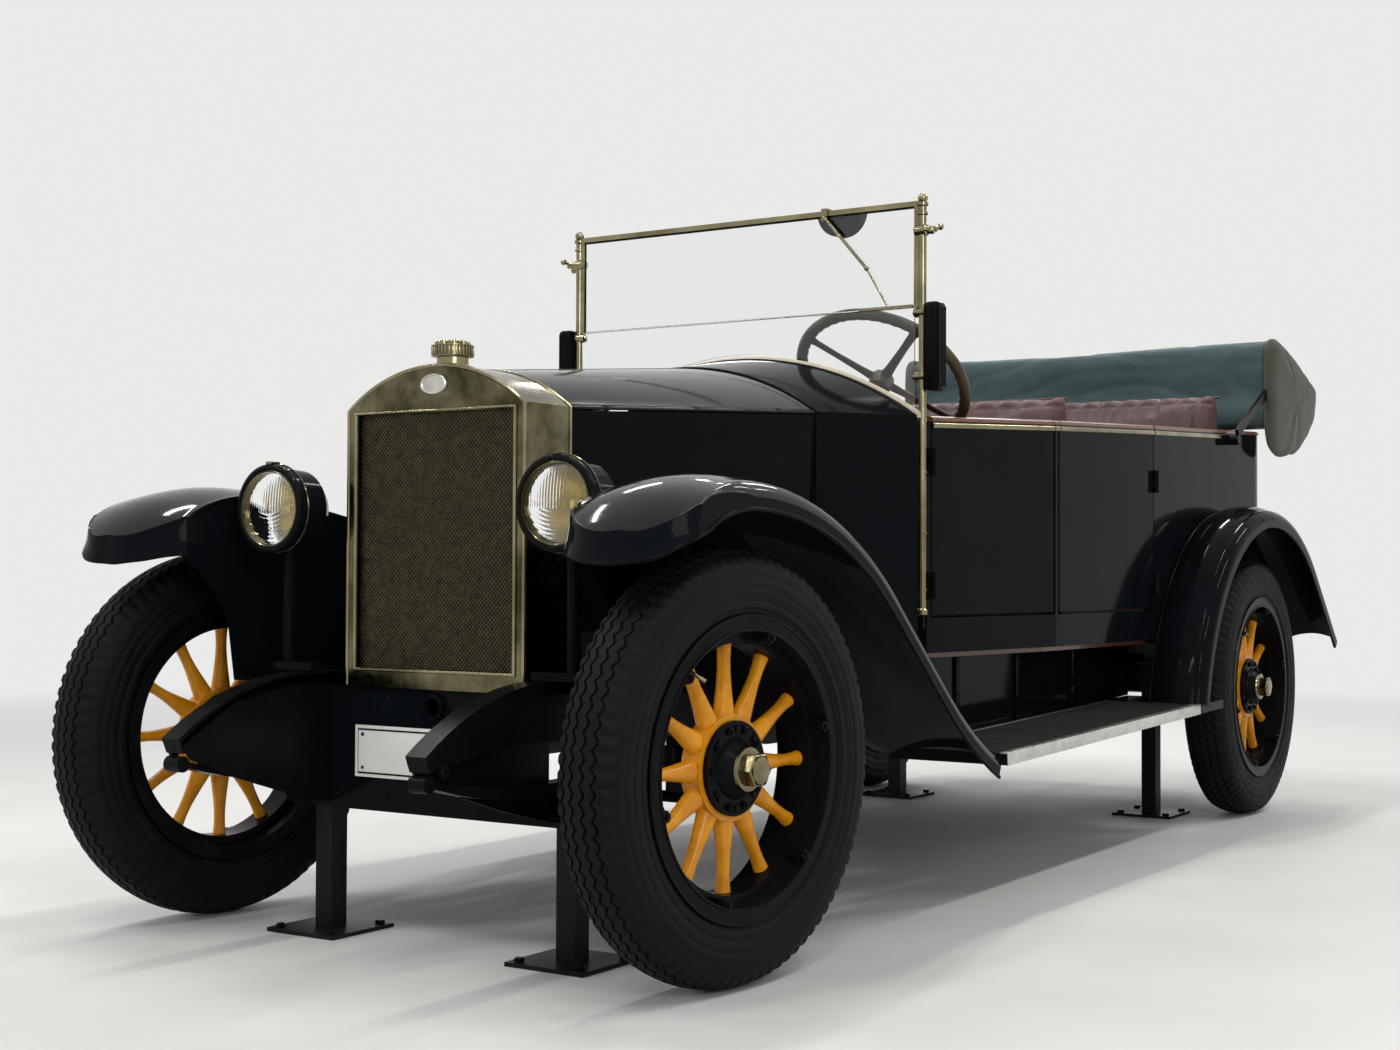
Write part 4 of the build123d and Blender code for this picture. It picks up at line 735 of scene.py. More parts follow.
CAP_SECTION = [(-0.019, 0), (0.019, 0), (0.0203, 0.003), (0.0195, 0.008), (0.013, 0.0115), (-0.013, 0.0115),
               (-0.0195, 0.008), (-0.0203, 0.003)]
BEAD_SECTION = ellipse(0.0055, 0.0068, 12)
SEAM_SECTION = ellipse(0.0028, 0.0028, 8)
CARD_SECTION = [(-0.0035, -0.185), (0.0035, -0.185), (0.0045, -0.18), (0.0062, 0), (0.0045, 0.18), (0.0035, 0.185),
                (-0.0035, 0.185)]
LINING_SECTION = [(-0.0035, -0.1), (0.0035, -0.1), (0.006, 0), (0.0035, 0.1), (-0.0035, 0.1)]


def trim_run(name, path, material=NICKEL, section=BEAD_SECTION, body=CHASSIS, sharp=32):
    """One length of cap, bead or panel."""
    shape = Shape()
    shape.swept(path, section, (0, 0, 1))
    return shape.made(name, material, body, sharp)


def cap_and_bead(place_word, body, cap, bead, side):
    """Wood cap and nickel bead over one part of a wall."""
    trim_run(f"cap_{place_word}", wall_path(*cap, 16, 0, side), TRIM_WOOD, CAP_SECTION, body)
    trim_run(f"bead_{place_word}", wall_path(*bead, -0.5, 9, side), body=body)


for side, word in SIDES.items():
    for door, (first, last) in DOOR_SPANS.items():
        body = f"{door}_{word}_body"
        cap_and_bead(f"{door}_{word}", body, (first, last), (first, last), side)
        panel = trim_run(f"card_{door}_{word}", wall_path(first - 14, last + 14, WALL + 3.5, 215, side), LEATHER,
                         CARD_SECTION, body, 60)
        handle = Shape()
        near = last + 60 if door == "door_front" else first - 60
        y, z = skin_y(near) - WALL - 8, belt(near) - 95
        handle.tube([mm(near, side * (y - inward), z) for inward in (0, 20)], 0.007)
        handle.tube([mm(near + ahead, side * (y - inward), z + up)
                     for ahead, inward, up in ((0, 18, 0), (30, 21, 4), (65, 20, -4))], 0.0048)
        handle.made(f"handle_{door}_{word}", NICKEL, body)
    cap_and_bead(f"pillar_{word}", CHASSIS, (-1642, -1671), (-1643, -1670), side)
    trim_run(f"bead_quarter_{word}", wall_path(-2292, -2870, -0.5, 9, side))
trim_run("cap_back", back_path(-2292, 16, 0), TRIM_WOOD, CAP_SECTION)
trim_run("welt_back", back_path(-2292, -1, 0, 640), PAINT, SEAM_SECTION)
lining = trim_run("quarter_lining", back_path(-2300, WALL + 4, 120), LEATHER, LINING_SECTION, sharp=60)


# Cowl and bonnet beads
COWL_END, BONNET_END = -1070, -806


def cowl_section(station):
    """Half width, shoulder and crown of the cowl at a station."""
    share = (station + 800) / (-1096 + 800)
    return mixed((367, 1085, 1199), (497, 1092, 1250), share)


def make_cowl_trim():
    """A beige rolled edge on the cowl with a dark band before it, and a bead at the bonnet's rear edge."""
    roll, band = Shape(), Shape()
    half, shoulder, crown_z = cowl_section(COWL_END)
    line = arch(half - 1, shoulder, crown_z - 2, COWL_END - 4, shoulder - 6, 36)
    roll.swept(line, ellipse(0.0085, 0.0075, 14), (1, 0, 0))
    roll.made("cowl_roll", BEIGE)
    half, shoulder, crown_z = cowl_section(COWL_END + 17)
    band.tube(arch(half, shoulder, crown_z - 0.5, COWL_END + 17, shoulder, 36), 0.003, (1, 0, 0), sides=8)
    half, shoulder, crown_z = cowl_section(BONNET_END)
    band.tube(arch(half, shoulder, crown_z, BONNET_END, 640, 36), 0.0035, (1, 0, 0), sides=8)
    band.made("cowl_beads", BLACK)


make_cowl_trim()


# Windscreen and indicator details
SCREEN_X, SCREEN_HALF = -1081, 491
PANE_HALF, PANE_SPLIT, PANE_TOP = 471, 1342, 1586


def make_screen_trim():
    """Finials, wing nuts, post screws, glazing strips and the upper pane's bright edge."""
    nickel, black, edge = Shape(), Shape(), Shape()
    for side in SIDES:
        post = spot(SCREEN_X, side * SCREEN_HALF, 0, "Y", -pi / 2)
        nickel.turned([(1.552, 0.0095), (1.554, 0.0125), (1.559, 0.0125), (1.561, 0.0095)], post, 24)
        nickel.turned([(1.572, 0.0095), (1.575, 0.0135), (1.581, 0.0135), (1.584, 0.0100)], post, 24)
        nickel.turned([(0.648, 0.0095), (0.644, 0.0125), (0.634, 0.0125), (0.629, 0.0080), (0.627, 0.001)], post, 24)
        pivot = spot(SCREEN_X, side * SCREEN_HALF, 1518, "Z", side * pi / 2)
        nickel.turned([(-0.018, 0.0125), (-0.012, 0.0140), (0.010, 0.0140), (0.014, 0.0105), (0.020, 0.0100),
                       (0.022, 0.0070), (0.036, 0.0065), (0.0375, 0.0040)], pivot, 24)
        for turn in around(2, 0.0235, 0.35):
            wing = pivot @ turn
            nickel.tube([wing @ Vector(p) for p in ((0.026, -0.0195, 0), (0.029, -0.0095, 0), (0.034, -0.0005, 0))],
                        0.0052, flat=0.75)
            nickel.turned([(0.0295, 0.0066), (0.0345, 0.0078), (0.0395, 0.0066)], wing, 16)
        for z in (1080, 960, 820, 690):
            screw = spot(SCREEN_X, side * (SCREEN_HALF + 8.2), z, "Z", side * pi / 2)
            nickel.turned([(0, 0.0048), (0.0016, 0.0044), (0.0026, 0.0026), (0.0029, 0.0005)], screw, 16)
        for z in (1180, 1328):
            clamp = spot(SCREEN_X, side * 474, z, "Z", -side * pi / 2)
            nickel.hexagon(-0.002, 0.006, 0.0085, clamp)
        black.box(mm(SCREEN_X - 5, side * 484, 600), mm(SCREEN_X + 5, side * 496, 1075), 0.002)
    low, high = PANE_SPLIT + 1, PANE_TOP - 13
    pane = ((PANE_HALF, low), (PANE_HALF, high), (-PANE_HALF, high), (-PANE_HALF, low))
    black.tube([mm(SCREEN_X, y, z) for y, z in pane], 0.0026, up=(1, 0, 0))
    edge.tube([mm(SCREEN_X, y, PANE_SPLIT) for y in (-PANE_HALF, PANE_HALF)], 0.0022)
    nickel.made("screen_fittings", NICKEL)
    black.made("screen_rubbers", BLACK)
    edge.made("pane_edge", ALUMINIUM)


def make_indicators():
    """Black ribbed arm boxes on the posts, standing for the CAD ones."""
    shape = Shape()
    blocks = [((-23, 503, 1146), (23, 541, 1350), 0.0085)]
    blocks += [((x - 1.6, 540, 1156), (x + 1.6, 542, 1340), 0.0006) for x in (-17.5, -10.5, -3.5, 3.5, 10.5, 17.5)]
    blocks += [((22, y - 1.6, 1156), (24, y + 1.6, 1340), 0.0006) for y in (508, 515, 522, 529, 536)]
    blocks += [((-9, 499, z - 14), (9, 505, z + 14), 0.002) for z in (1200, 1300)]
    for side in SIDES:
        for (x0, y0, z0), (x1, y1, z1), edge in blocks:
            near, far = sorted((side * y0, side * y1))
            shape.box(mm(SCREEN_X + x0, near, z0), mm(SCREEN_X + x1, far, z1), edge)
    piece = shape.made("indicator_covers", BLACK)
    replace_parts(piece, "indicator_boxes")


make_screen_trim()
make_indicators()


# Running boards, aprons, whole front fenders and the edges of all fenders
BOARD_SLOPE = atan2(39, 1474)


def make_boards():
    """Ribbed mats and aluminium edges on the running boards."""
    mat, edge = Shape(), Shape()
    board = spot(-966, 0, 338, "Y", BOARD_SLOPE)
    mat.box((-1.272, 0.497, -0.0002), (-0.004, 0.733, 0.0014), 0.0006, board)
    for k in range(27):
        y = 0.5015 + 0.0087 * k
        mat.box((-1.270, y - 0.0022, 0.001), (-0.006, y + 0.0022, 0.0031), 0.0008, board)
    for y0, z0, y1, z1 in ((0.7335, -0.0002, 0.7545, 0.0034), (0.7515, -0.0245, 0.7548, 0.0030),
                           (0.4855, -0.0002, 0.4965, 0.0030)):
        edge.box((-1.274, y0, z0), (-0.001, y1, z1), 0.0012, board)
    mat.mirrored().made("board_mats", MAT)
    edge.mirrored().made("board_edges", ALUMINIUM)
    seams = Shape()
    for x in (-1310, -1660, -2020):
        seams.box(mm(x - 9, 469, 352), mm(x + 9, 472.5, 528), 0.001)
        for z in (365, 440, 515):
            bolt = spot(x, 472, z, "Z", pi / 2)
            seams.turned([(0, 0.0042), (0.0018, 0.0038), (0.0026, 0.001)], bolt, 12)
    seams.mirrored().made("apron_seams", PAINT)


def trace(start, heading, moves, step):
    """Marks (x, z, heading) along a path of arcs (radius, turn) and lines (0, length)."""
    x, z = start
    marks = [(x, z, heading)]
    for radius, amount in moves:
        count = max(2, int(abs(amount) / (step if radius else 80.0)))
        hand = 1 if amount > 0 else -1
        centre = (x - hand * radius * sin(radians(heading)), z + hand * radius * cos(radians(heading)))
        for _ in range(count):
            if radius:
                heading += amount / count
                x = centre[0] + hand * radius * sin(radians(heading))
                z = centre[1] - hand * radius * cos(radians(heading))
            else:
                x += amount / count * cos(radians(heading))
                z += amount / count * sin(radians(heading))
            marks.append((x, z, heading))
    return marks


FRONT_PATH = trace((326.9, 738.5), 126.5, ((0, 68), (203, 33.5), (382, 20), (830, 40), (0, 325.7), (1017, -16)), 2.5)
REAR_PATH = trace((-2238.4, 375), 101.5, ((675, 78.5), (680, 42), (0, 330)), 3.5)
FENDER_INNER, FENDER_OUTER, SHOULDER_R, CREASE_R = 480, 745, 30, 2
LIP_DEPTH, LIP_R, SHEET_MM = 46, 0.0042, 4
NOSE_ARCS = (((240, 745), (275, 722), (304, 630)), ((304, 630), (290, 540), (222, 470)))
NOSE_FLARE = 12
NOSE_CORNER = (256, 745, 787)
NOSE_SPLIT, TURN_START = 630, 712
NOSE_LOW = ((745, 787), (724, 775), (713, 765), (696, 754), (680, 750), (655, 747),
            (598, 744), (538, 751), (505, 759), (480, 763))
SKIRT_PLAN = ((240, 484), (100, 484), (-110, 484), (-330, 380), (-600, 402), (-1000, 460), (-1100, 460))
SKIRT_LOW = ((250, 760), (188, 722), (121, 640), (100, 505), (-680, 505))
SKIRT_STATIONS = range(240, -700, -20)
SKIRT_FLOOR, FLOOR_PLAN = 505, ((100, 484), (-110, 484), (-330, 380), (-330, 366), (-60, 328), (100, 328))


def between(rows, x):
    """Value at x on a line through (x, value) pairs that run backward."""
    for (x0, v0), (x1, v1) in zip(rows, rows[1:]):
        if x1 <= x <= x0:
            return v0 + (v1 - v0) * (x - x0) / (x1 - x0)
    return rows[0][1] if x > rows[0][0] else rows[-1][1]


def circle_through(a, b, c):
    """Centre and radius of the circle through three points."""
    d = 2 * (a[0] * (b[1] - c[1]) + b[0] * (c[1] - a[1]) + c[0] * (a[1] - b[1]))
    squares = [p[0] ** 2 + p[1] ** 2 for p in (a, b, c)]
    x = (squares[0] * (b[1] - c[1]) + squares[1] * (c[1] - a[1]) + squares[2] * (a[1] - b[1])) / d
    y = (squares[0] * (c[0] - b[0]) + squares[1] * (a[0] - c[0]) + squares[2] * (b[0] - a[0])) / d
    return x, y, sqrt((a[0] - x) ** 2 + (a[1] - y) ** 2)


def nose_point(y):
    """Station of the front fender's nose at a width, with its outward direction in plan."""
    x, middle, radius = circle_through(*NOSE_ARCS[0 if y >= NOSE_SPLIT else 1])
    away = sqrt(max(0.0, radius ** 2 - (y - middle) ** 2))
    return x + away, away / radius, (y - middle) / radius


def along(marks, length):
    """Mark (x, z, heading) at a length along a path, which runs on straight before its start."""
    x0, z0, h0 = marks[0]
    if length <= 0:
        return x0 + length * cos(radians(h0)), z0 + length * sin(radians(h0)), h0
    for (x0, z0, h0), (x1, z1, h1) in zip(marks, marks[1:]):
        leg = sqrt((x1 - x0) ** 2 + (z1 - z0) ** 2)
        if length <= leg:
            return mixed((x0, z0, h0), (x1, z1, h1), length / leg)
        length -= leg
    return marks[-1]


def under(mark, depth):
    """Station and height at a depth below a mark."""
    x, z, heading = mark
    return x - depth * sin(radians(heading)), z + depth * cos(radians(heading))


def length_at(depth, x, low=-120.0, high=700.0):
    """Length along the front fender's path where the line at a depth below it passes a station."""
    for _ in range(44):
        middle = (low + high) / 2
        if under(along(FRONT_PATH, middle), depth)[0] > x:
            low = middle
        else:
            high = middle
    return low


def dome_columns(radius):
    """Section of the front fender as (y, depth): arched crown and a shoulder of one radius."""
    edge = FENDER_OUTER - radius
    rows = []
    for k in range(25):
        share = k / 24
        rows.append((FENDER_INNER + (edge - FENDER_INNER) * share, 2 - 7 * share - 66 * share * (1 - share)))
    for k in range(1, 9):
        turn = pi * k / 16
        rows.append((edge + radius * sin(turn), radius - 5 - radius * cos(turn)))
    return rows


def thickened(shape, name, material):
    """Give an open sheet a thickness on its inner side and make it one piece of the chassis."""
    piece = shape.made(name, material)
    mesh = bmesh.new()
    mesh.from_mesh(piece.data)
    bmesh.ops.remove_doubles(mesh, verts=mesh.verts[:], dist=0.00002)
    bmesh.ops.solidify(mesh, geom=mesh.faces[:], thickness=SHEET_MM / 1000)
    mesh.to_mesh(piece.data)
    mesh.free()
    smooth(piece.data, 26)
    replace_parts(piece, "front_fenders")


def fender_rows(steps=130):
    """Rows of (x, y, z) from the nose back: crown and shoulder points, and the lip's top and bottom."""
    total = sum(sqrt((b[0] - a[0]) ** 2 + (b[1] - a[1]) ** 2) for a, b in zip(FRONT_PATH, FRONT_PATH[1:]))

    def at_step(i, start):
        return along(FRONT_PATH, start + (total - start) * i / steps)

    starts = [length_at(depth, nose_point(y)[0]) for y, depth in dome_columns(CREASE_R)]
    low_start = length_at(LIP_DEPTH, NOSE_CORNER[0])
    crowns, lips = [], []
    for i in range(steps + 1):
        radius = CREASE_R + (SHOULDER_R - CREASE_R) * clamped((215 - at_step(i, starts[-1])[0]) / 150)
        row = []
        for (y, depth), start in zip(dome_columns(radius), starts):
            x, z = under(at_step(i, start), depth)
            row.append((x, y, z))
        x, z = under(at_step(i, low_start), LIP_DEPTH)
        if x > 200:
            z = max(z, NOSE_CORNER[2] - 0.316 * (x - NOSE_CORNER[0]))
        lips.append([mixed(row[-1], (x, FENDER_OUTER, z), k / 3) for k in range(4)])
        x, y, z = row[0]
        crowns.append([(x, min(477.0, between(SKIRT_PLAN, x) - 1), z)] + row)
    return crowns, lips


def make_front_fender(side):
    """Front fender: crown, shoulder and lip, a nose turned down with a crease, the inner skirt and its floor."""
    word = SIDES[side]

    def laid(rows):
        placed = [[mm(x, side * y, z) for x, y, z in row] for row in rows]
        return placed if side > 0 else [row[::-1] for row in placed]

    crowns, lips = fender_rows()
    crown = Shape()
    crown.rings(laid(crowns), closed_round=False)
    # The crown takes the lighter enamel copy, a painted highlight on the fender's top; the wall and lip keep the
    # plain enamel.
    thickened(crown, f"fender_crown_{word}", LIT_TOP_PAINT)
    wall = []
    for x, y, z in crowns[0][1:]:
        _, nx, ny = nose_point(y)
        turn = clamped((y - TURN_START) / (FENDER_OUTER - TURN_START))
        low = mixed((x + nx * NOSE_FLARE, y + ny * NOSE_FLARE, between(NOSE_LOW, y)), NOSE_CORNER, turn)
        column = [(x, y, z)]
        for share, out in ((0.06, 0.10), (0.35, 0.16), (0.62, 0.38), (0.84, 0.70), (1.0, 1.0)):
            out += (share - out) * turn
            column.append((x + (low[0] - x) * out, y + (low[1] - y) * out, z + (low[2] - z) * share))
        wall.append(column)
    side_wall = Shape()
    side_wall.rings(laid(lips), closed_round=False)
    side_wall.rings(laid(reversed(wall)), closed_round=False)
    thickened(side_wall, f"fender_wall_{word}", PAINT)
    skirt = Shape()
    rows = []
    for x in SKIRT_STATIONS:
        y, bottom = between(SKIRT_PLAN, x), between(SKIRT_LOW, x)
        reach = () if x > -100 else (0.0, 2200.0)
        top = under(along(FRONT_PATH, length_at(SHEET_MM, x, *reach)), SHEET_MM)[1]
        top = max(top, bottom + SHEET_MM)
        rows.append([(x, y, bottom), (x, y, top), (x, y + SHEET_MM, top), (x, y + SHEET_MM, bottom)])
    skirt.rings([[mm(x, side * y, z) for x, y, z in row] for row in rows], capped=True)
    skirt.rings([[mm(x, side * y, z) for x, y in FLOOR_PLAN] for z in (SKIRT_FLOOR, SKIRT_FLOOR + SHEET_MM)],
                capped=True)
    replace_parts(skirt.made(f"fender_skirt_{word}", PAINT), "front_fenders")
    crease = crowns[0][1:-1] + [row[-1] for row in crowns[:14]]
    low_edge = [column[-1] for column in wall[:-1]] + [row[-1] for row in lips]
    return [[mm(x, side * y, z) for x, y, z in line] for line in (crease, low_edge)]


def make_fender_edges():
    """Front fenders, rolled lips along all fenders and welts where the rear ones meet the body."""
    lips, rear_lips, welts, creases = Shape(), Shape(), Shape(), Shape()
    for side in SIDES:
        crease, low_edge = make_front_fender(side)
        creases.tube(crease, 0.0017, up=(0.3, 0.3, 0.9))
        lips.tube(low_edge, LIP_R, up=(0.3, 0.5, 0.8))
    for edge, depth, y in ((rear_lips, 44, 760.6), (welts, -0.5, 611)):
        line = [under(mark, depth) for mark in REAR_PATH]
        edge.tube([mm(x, y, z) for x, z in line], LIP_R, up=(0, 1, 0))
    # The crease bead takes the lighter enamel copy: a painted highlight along the crease.
    creases.made("fender_creases", LIT_TOP_PAINT, sharp=50)
    lips.made("front_fender_lips", PAINT, sharp=50)
    rear_lips.mirrored().made("rear_fender_lips", PAINT, sharp=50)
    welts.mirrored().made("fender_welts", PAINT, sharp=50)


make_boards()
make_fender_edges()


# Steering wheel: turned wood rim with finger grips, and four spokes
WHEEL_CENTRE = mm(-1283, 282, 1201)
COLUMN_TILT = radians(47)
RIM_R, FINGER_GRIPS = 0.208, 48
SPOKE_ROWS = ((0.016, 0.015, 0.006, -0.006), (0.06, 0.0115, 0.0045, -0.005), (0.13, 0.0095, 0.0038, -0.003),
              (0.185, 0.0105, 0.0042, -0.001), (0.201, 0.017, 0.006, 0.0))


def steering_matrix():
    """The wheel's own frame: local Z up the column."""
    z = Vector((-cos(COLUMN_TILT), 0, sin(COLUMN_TILT)))
    x = Vector((0, 1, 0))
    return Matrix.Translation(WHEEL_CENTRE) @ Matrix((x, z.cross(x), z)).transposed().to_4x4()


def make_steering_wheel():
    """Rim and spider, standing for the CAD wheel."""
    rim, spider = Shape(steering_matrix()), Shape(steering_matrix())
    rings = []
    for k, (c, s) in enumerate(circle(6 * FINGER_GRIPS)):
        grip = 0.0022 * (0.5 - 0.5 * cos(2 * pi * k / 6))
        ring = []
        for out, up in circle(14):
            thick = 0.0148 - grip * max(0.0, -out)
            ring.append(((RIM_R + thick * out) * c, (RIM_R + thick * out) * s, thick * 0.95 * up))
        rings.append(ring)
    rim.rings(rings, closed_along=True)
    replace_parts(rim.made("steering_rim", RIM_WOOD, "steering_wheel_body", 60), "steering_wheel")
    for k in range(4):
        rows = [[(r, y, drop + z) for y, z in ellipse(wide, thick, 12)] for r, wide, thick, drop in SPOKE_ROWS]
        spider.rings(rows, capped=True, matrix=Matrix.Rotation(radians(45 + 90 * k), 4, "Z"))
    axle = Matrix.Rotation(-pi / 2, 4, "Y")
    spider.turned([(-0.115, 0.0098), (-0.034, 0.0098), (-0.030, 0.026), (-0.012, 0.030), (0.004, 0.029),
                   (0.007, 0.024), (0.009, 0.020), (0.0105, 0.012), (0.011, 0.001)], axle, 36)
    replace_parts(spider.made("steering_spider", RIM_WOOD, "steering_wheel_body"), "steering_wheel")
    control = Shape(steering_matrix())
    control.turned([(0.0100, 0.016), (0.0125, 0.0158), (0.0140, 0.0130), (0.0145, 0.001)], axle, 32)
    control.made("horn_button", BLACK, "steering_wheel_body")


make_steering_wheel()


# Dashboard, pedals and levers
DASH_X = -1106


def make_controls():
    """Dials with plain ticks, knobs, three pedals, the gear lever and the hand brake."""
    ring, face, mark, iron = Shape(), Shape(), Shape(), Shape()
    for y, z, r in ((0, 1128, 0.047), (112, 1124, 0.030), (-112, 1124, 0.030), (-190, 1116, 0.030)):
        at = spot(DASH_X, y, z, "Z", pi)
        ring.turned([(-0.001, r + 0.006), (0.005, r + 0.0055), (0.0075, r + 0.002), (0.0070, r), (0.002, r)], at, 48,
                    closed=True)
        face.turned([(0.0012, r + 0.001), (0.0022, r)], at, 48)
        for k in range(11):
            turn = at @ Matrix.Rotation(radians(-135 + 27 * k), 4, "X")
            mark.box((0.0022, -0.0007, r * 0.76), (0.0028, 0.0007, r * 0.93), 0, turn)
        needle = at @ Matrix.Rotation(radians(-118), 4, "X")
        mark.box((0.003, -0.0009, -r * 0.2), (0.0036, 0.0009, r * 0.8), 0.0002, needle)
        mark.turned([(0.0022, 0.004), (0.0042, 0.0036)], at, 16)
    for y in (-60, 60, 190, 250):
        at = spot(DASH_X, y, 1072, "Z", pi)
        ring.turned([(0, 0.010), (0.003, 0.0095), (0.004, 0.005), (0.016, 0.0045), (0.018, 0.0085), (0.023, 0.0090),
                     (0.026, 0.006), (0.0265, 0.001)], at, 24)
    ring.made("dial_rings", NICKEL)
    face.made("dial_faces", DIAL)
    mark.made("dial_marks", BLACK)
    for y, wide in ((350, 0.034), (235, 0.034), (165, 0.022)):
        iron.tube([mm(-900, y, 556), mm(-930, y, 600), mm(-985, y, 668)], 0.0075)
        pad = spot(-992, y, 676, "Y", radians(-42))
        iron.box((-0.006, -wide, -0.03), (0.004, wide, 0.03), 0.003, pad)
        for k in range(5):
            low = -0.024 + 0.011 * k
            iron.box((-0.0085, 0.004 - wide, low), (-0.005, wide - 0.004, low + 0.004), 0.0008, pad)
    iron.tube([mm(-1150, 0, 552), mm(-1165, 2, 640), mm(-1205, 8, 760), mm(-1275, 18, 868)], 0.0078)
    iron.turned([(-0.02, 0.006), (-0.012, 0.015), (0, 0.0195), (0.012, 0.015), (0.0195, 0.001)],
                spot(-1283, 19, 879, "Y", radians(52)), 24)
    iron.turned([(0.5525, 0.060), (0.556, 0.058), (0.580, 0.030), (0.600, 0.018)],
                spot(-1150, 0, 0, "Y", -pi / 2), 32)
    iron.tube([mm(-1150, 78, 556), mm(-1175, 78, 660), mm(-1262, 80, 832)], 0.0085, flat=0.6)
    iron.made("pedals_and_levers", BLACK)
    grip = Shape()
    grip.tube([mm(-1255, 80, 818), mm(-1275, 80, 857)], 0.0115)
    grip.made("brake_grip", NICKEL)


make_controls()


# Tail lamp and small fittings
PLATE_CORNERS = ((190, 330), (190, 416), (-190, 416), (-190, 330))


def make_tail_lamp():
    """Black drum with a nickel ring and a red glass, standing for the CAD lamp."""
    at = spot(-3446, 470, 620, "Z", pi)
    drum, ring, glass = Shape(at), Shape(at), Shape(at)
    drum.turned([(-0.0255, 0.030), (-0.018, 0.0335), (0.018, 0.0335), (0.0185, 0.028)], count=40)
    ring.turned([(0.016, 0.0338), (0.022, 0.0335), (0.0238, 0.0305), (0.0235, 0.0285), (0.018, 0.0285)], count=40,
                closed=True)
    glass.turned([(0.018, 0.0286), (0.0222, 0.0275), (0.0242, 0.021), (0.0249, 0.011), (0.025, 0.001)], count=40)
    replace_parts(drum.made("tail_drum", BLACK), "tail_lamp")
    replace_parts(glass.made("tail_glass", MATERIALS["red_lens"]), "tail_lamp")
    ring.made("tail_ring", NICKEL)


def make_bolts():
    """Bolt heads on the stands, the dumb irons, the valance and the number plate."""
    black, nickel = Shape(), Shape()
    for x, y in ((0, 307), (-2750, 430)):
        for dx, dy in ((-70, -70), (-70, 70), (70, -70), (70, 70)):
            black.hexagon(-0.0005, 0.0075, 0.0105, spot(x + dx, y + dy, 8, "Y", -pi / 2))
    for y, z in ((120, 285), (255, 285), (120, 480), (255, 480)):
        black.turned([(-0.0005, 0.0062), (0.0024, 0.0056), (0.0036, 0.002)], spot(38, y, z), 14)
    for x, z in ((396, 391), (222, 440)):
        black.hexagon(-0.004, 0.006, 0.0125, spot(x, 331, z, "Z", pi / 2))
    for z in (340, 406):
        nickel.turned([(-0.0003, 0.0042), (0.0014, 0.0036), (0.0019, 0.0008)], spot(49, 178, z), 14)
    black.mirrored().made("black_bolts", BLACK)
    nickel.mirrored().made("plate_screws", NICKEL)
    border = Shape()
    border.swept([mm(49.2, y, z) for y, z in PLATE_CORNERS],
                 [(-0.0012, -0.0004), (0.0012, -0.0004), (0.0012, 0.0006), (-0.0012, 0.0006)], (1, 0, 0), closed=True)
    border.made("plate_border", BLACK)


make_tail_lamp()
make_bolts()


# Soft goods


def apply_modifiers(piece):
    """Give a piece its evaluated mesh and drop its modifiers."""
    bpy.context.view_layer.update()
    made = bpy.data.meshes.new_from_object(piece.evaluated_get(bpy.context.evaluated_depsgraph_get()))
    piece.modifiers.clear()
    piece.data = made


def cushion_blank(name, outline, half):
    """Rounded block with the given side outline (x, z in millimetres), remeshed into even cells."""
    mesh = bmesh.new()
    rings = [[mesh.verts.new(mm(x, y, z)) for x, z in outline] for y in (-half, half)]
    count = len(outline)
    for k in range(count):
        mesh.faces.new((rings[0][k], rings[0][(k + 1) % count], rings[1][(k + 1) % count], rings[1][k]))
    mesh.faces.new(list(reversed(rings[0])))
    mesh.faces.new(rings[1])
    bmesh.ops.recalc_face_normals(mesh, faces=mesh.faces)
    bmesh.ops.bevel(mesh, geom=mesh.edges[:], offset=0.024, segments=4, profile=0.5, affect="EDGES")
    data = bpy.data.meshes.new(name)
    mesh.to_mesh(data)
    mesh.free()
    piece = bpy.data.objects.new(name, data)
    SCENE.collection.objects.link(piece)
    remesh = piece.modifiers.new("cells", "REMESH")
    remesh.mode = "VOXEL"
    remesh.voxel_size = VOXEL
    apply_modifiers(piece)
    return piece


def swell(pieces, cap, pressure=4.0, frames=20):
    """Cloth pressure from inside, with no gravity and with each point's way capped."""
    before = [[v.co.copy() for v in piece.data.vertices] for piece in pieces]
    for piece in pieces:
        cloth = piece.modifiers.new("swell", "CLOTH")
        cloth.settings.use_pressure = True
        cloth.settings.uniform_pressure_force = pressure
        cloth.settings.effector_weights.gravity = 0
        cloth.settings.quality = 4
        cloth.settings.tension_stiffness = 20
        cloth.settings.compression_stiffness = 20
        cloth.settings.bending_stiffness = 2
    for frame_number in range(1, frames + 1):
        SCENE.frame_set(frame_number)
    for piece, starts in zip(pieces, before):
        apply_modifiers(piece)
        for vertex, start in zip(piece.data.vertices, starts):
            move = vertex.co - start
            if move.length > cap:
                vertex.co = start + move * (cap / move.length)
    SCENE.frame_set(1)


def spans_of(piece, axes):
    """First and last coordinate of a piece along each given axis."""
    rows = {axis: [v.co[axis] for v in piece.data.vertices] for axis in axes}
    return {axis: (min(values), max(values)) for axis, values in rows.items()}


def refit(piece, spans):
    """Bring a swollen piece back to its own length along the given axes."""
    for axis, (first, last) in spans_of(piece, spans).items():
        low, high = spans[axis]
        for vertex in piece.data.vertices:
            vertex.co[axis] = low + (vertex.co[axis] - first) * (high - low) / (last - first)


def level_top(piece, half, cell=0.03):
    """Straighten a swollen back's top edge, which pressure pulls down in its middle."""
    peaks = {}
    for vertex in piece.data.vertices:
        key = round(vertex.co.y / cell)
        peaks[key] = max(peaks.get(key, 0.0), vertex.co.z)
    base, top = min(v.co.z for v in piece.data.vertices), max(peaks.values())
    limit = half - 0.06
    for vertex in piece.data.vertices:
        place_y = min(limit, max(-limit, vertex.co.y)) / cell
        first = int(place_y // 1)
        share = place_y - first
        peak = peaks[first] * (1 - share) + peaks[first + 1] * share
        vertex.co.z = base + (vertex.co.z - base) * min(1.12, (top - base) / (peak - base))


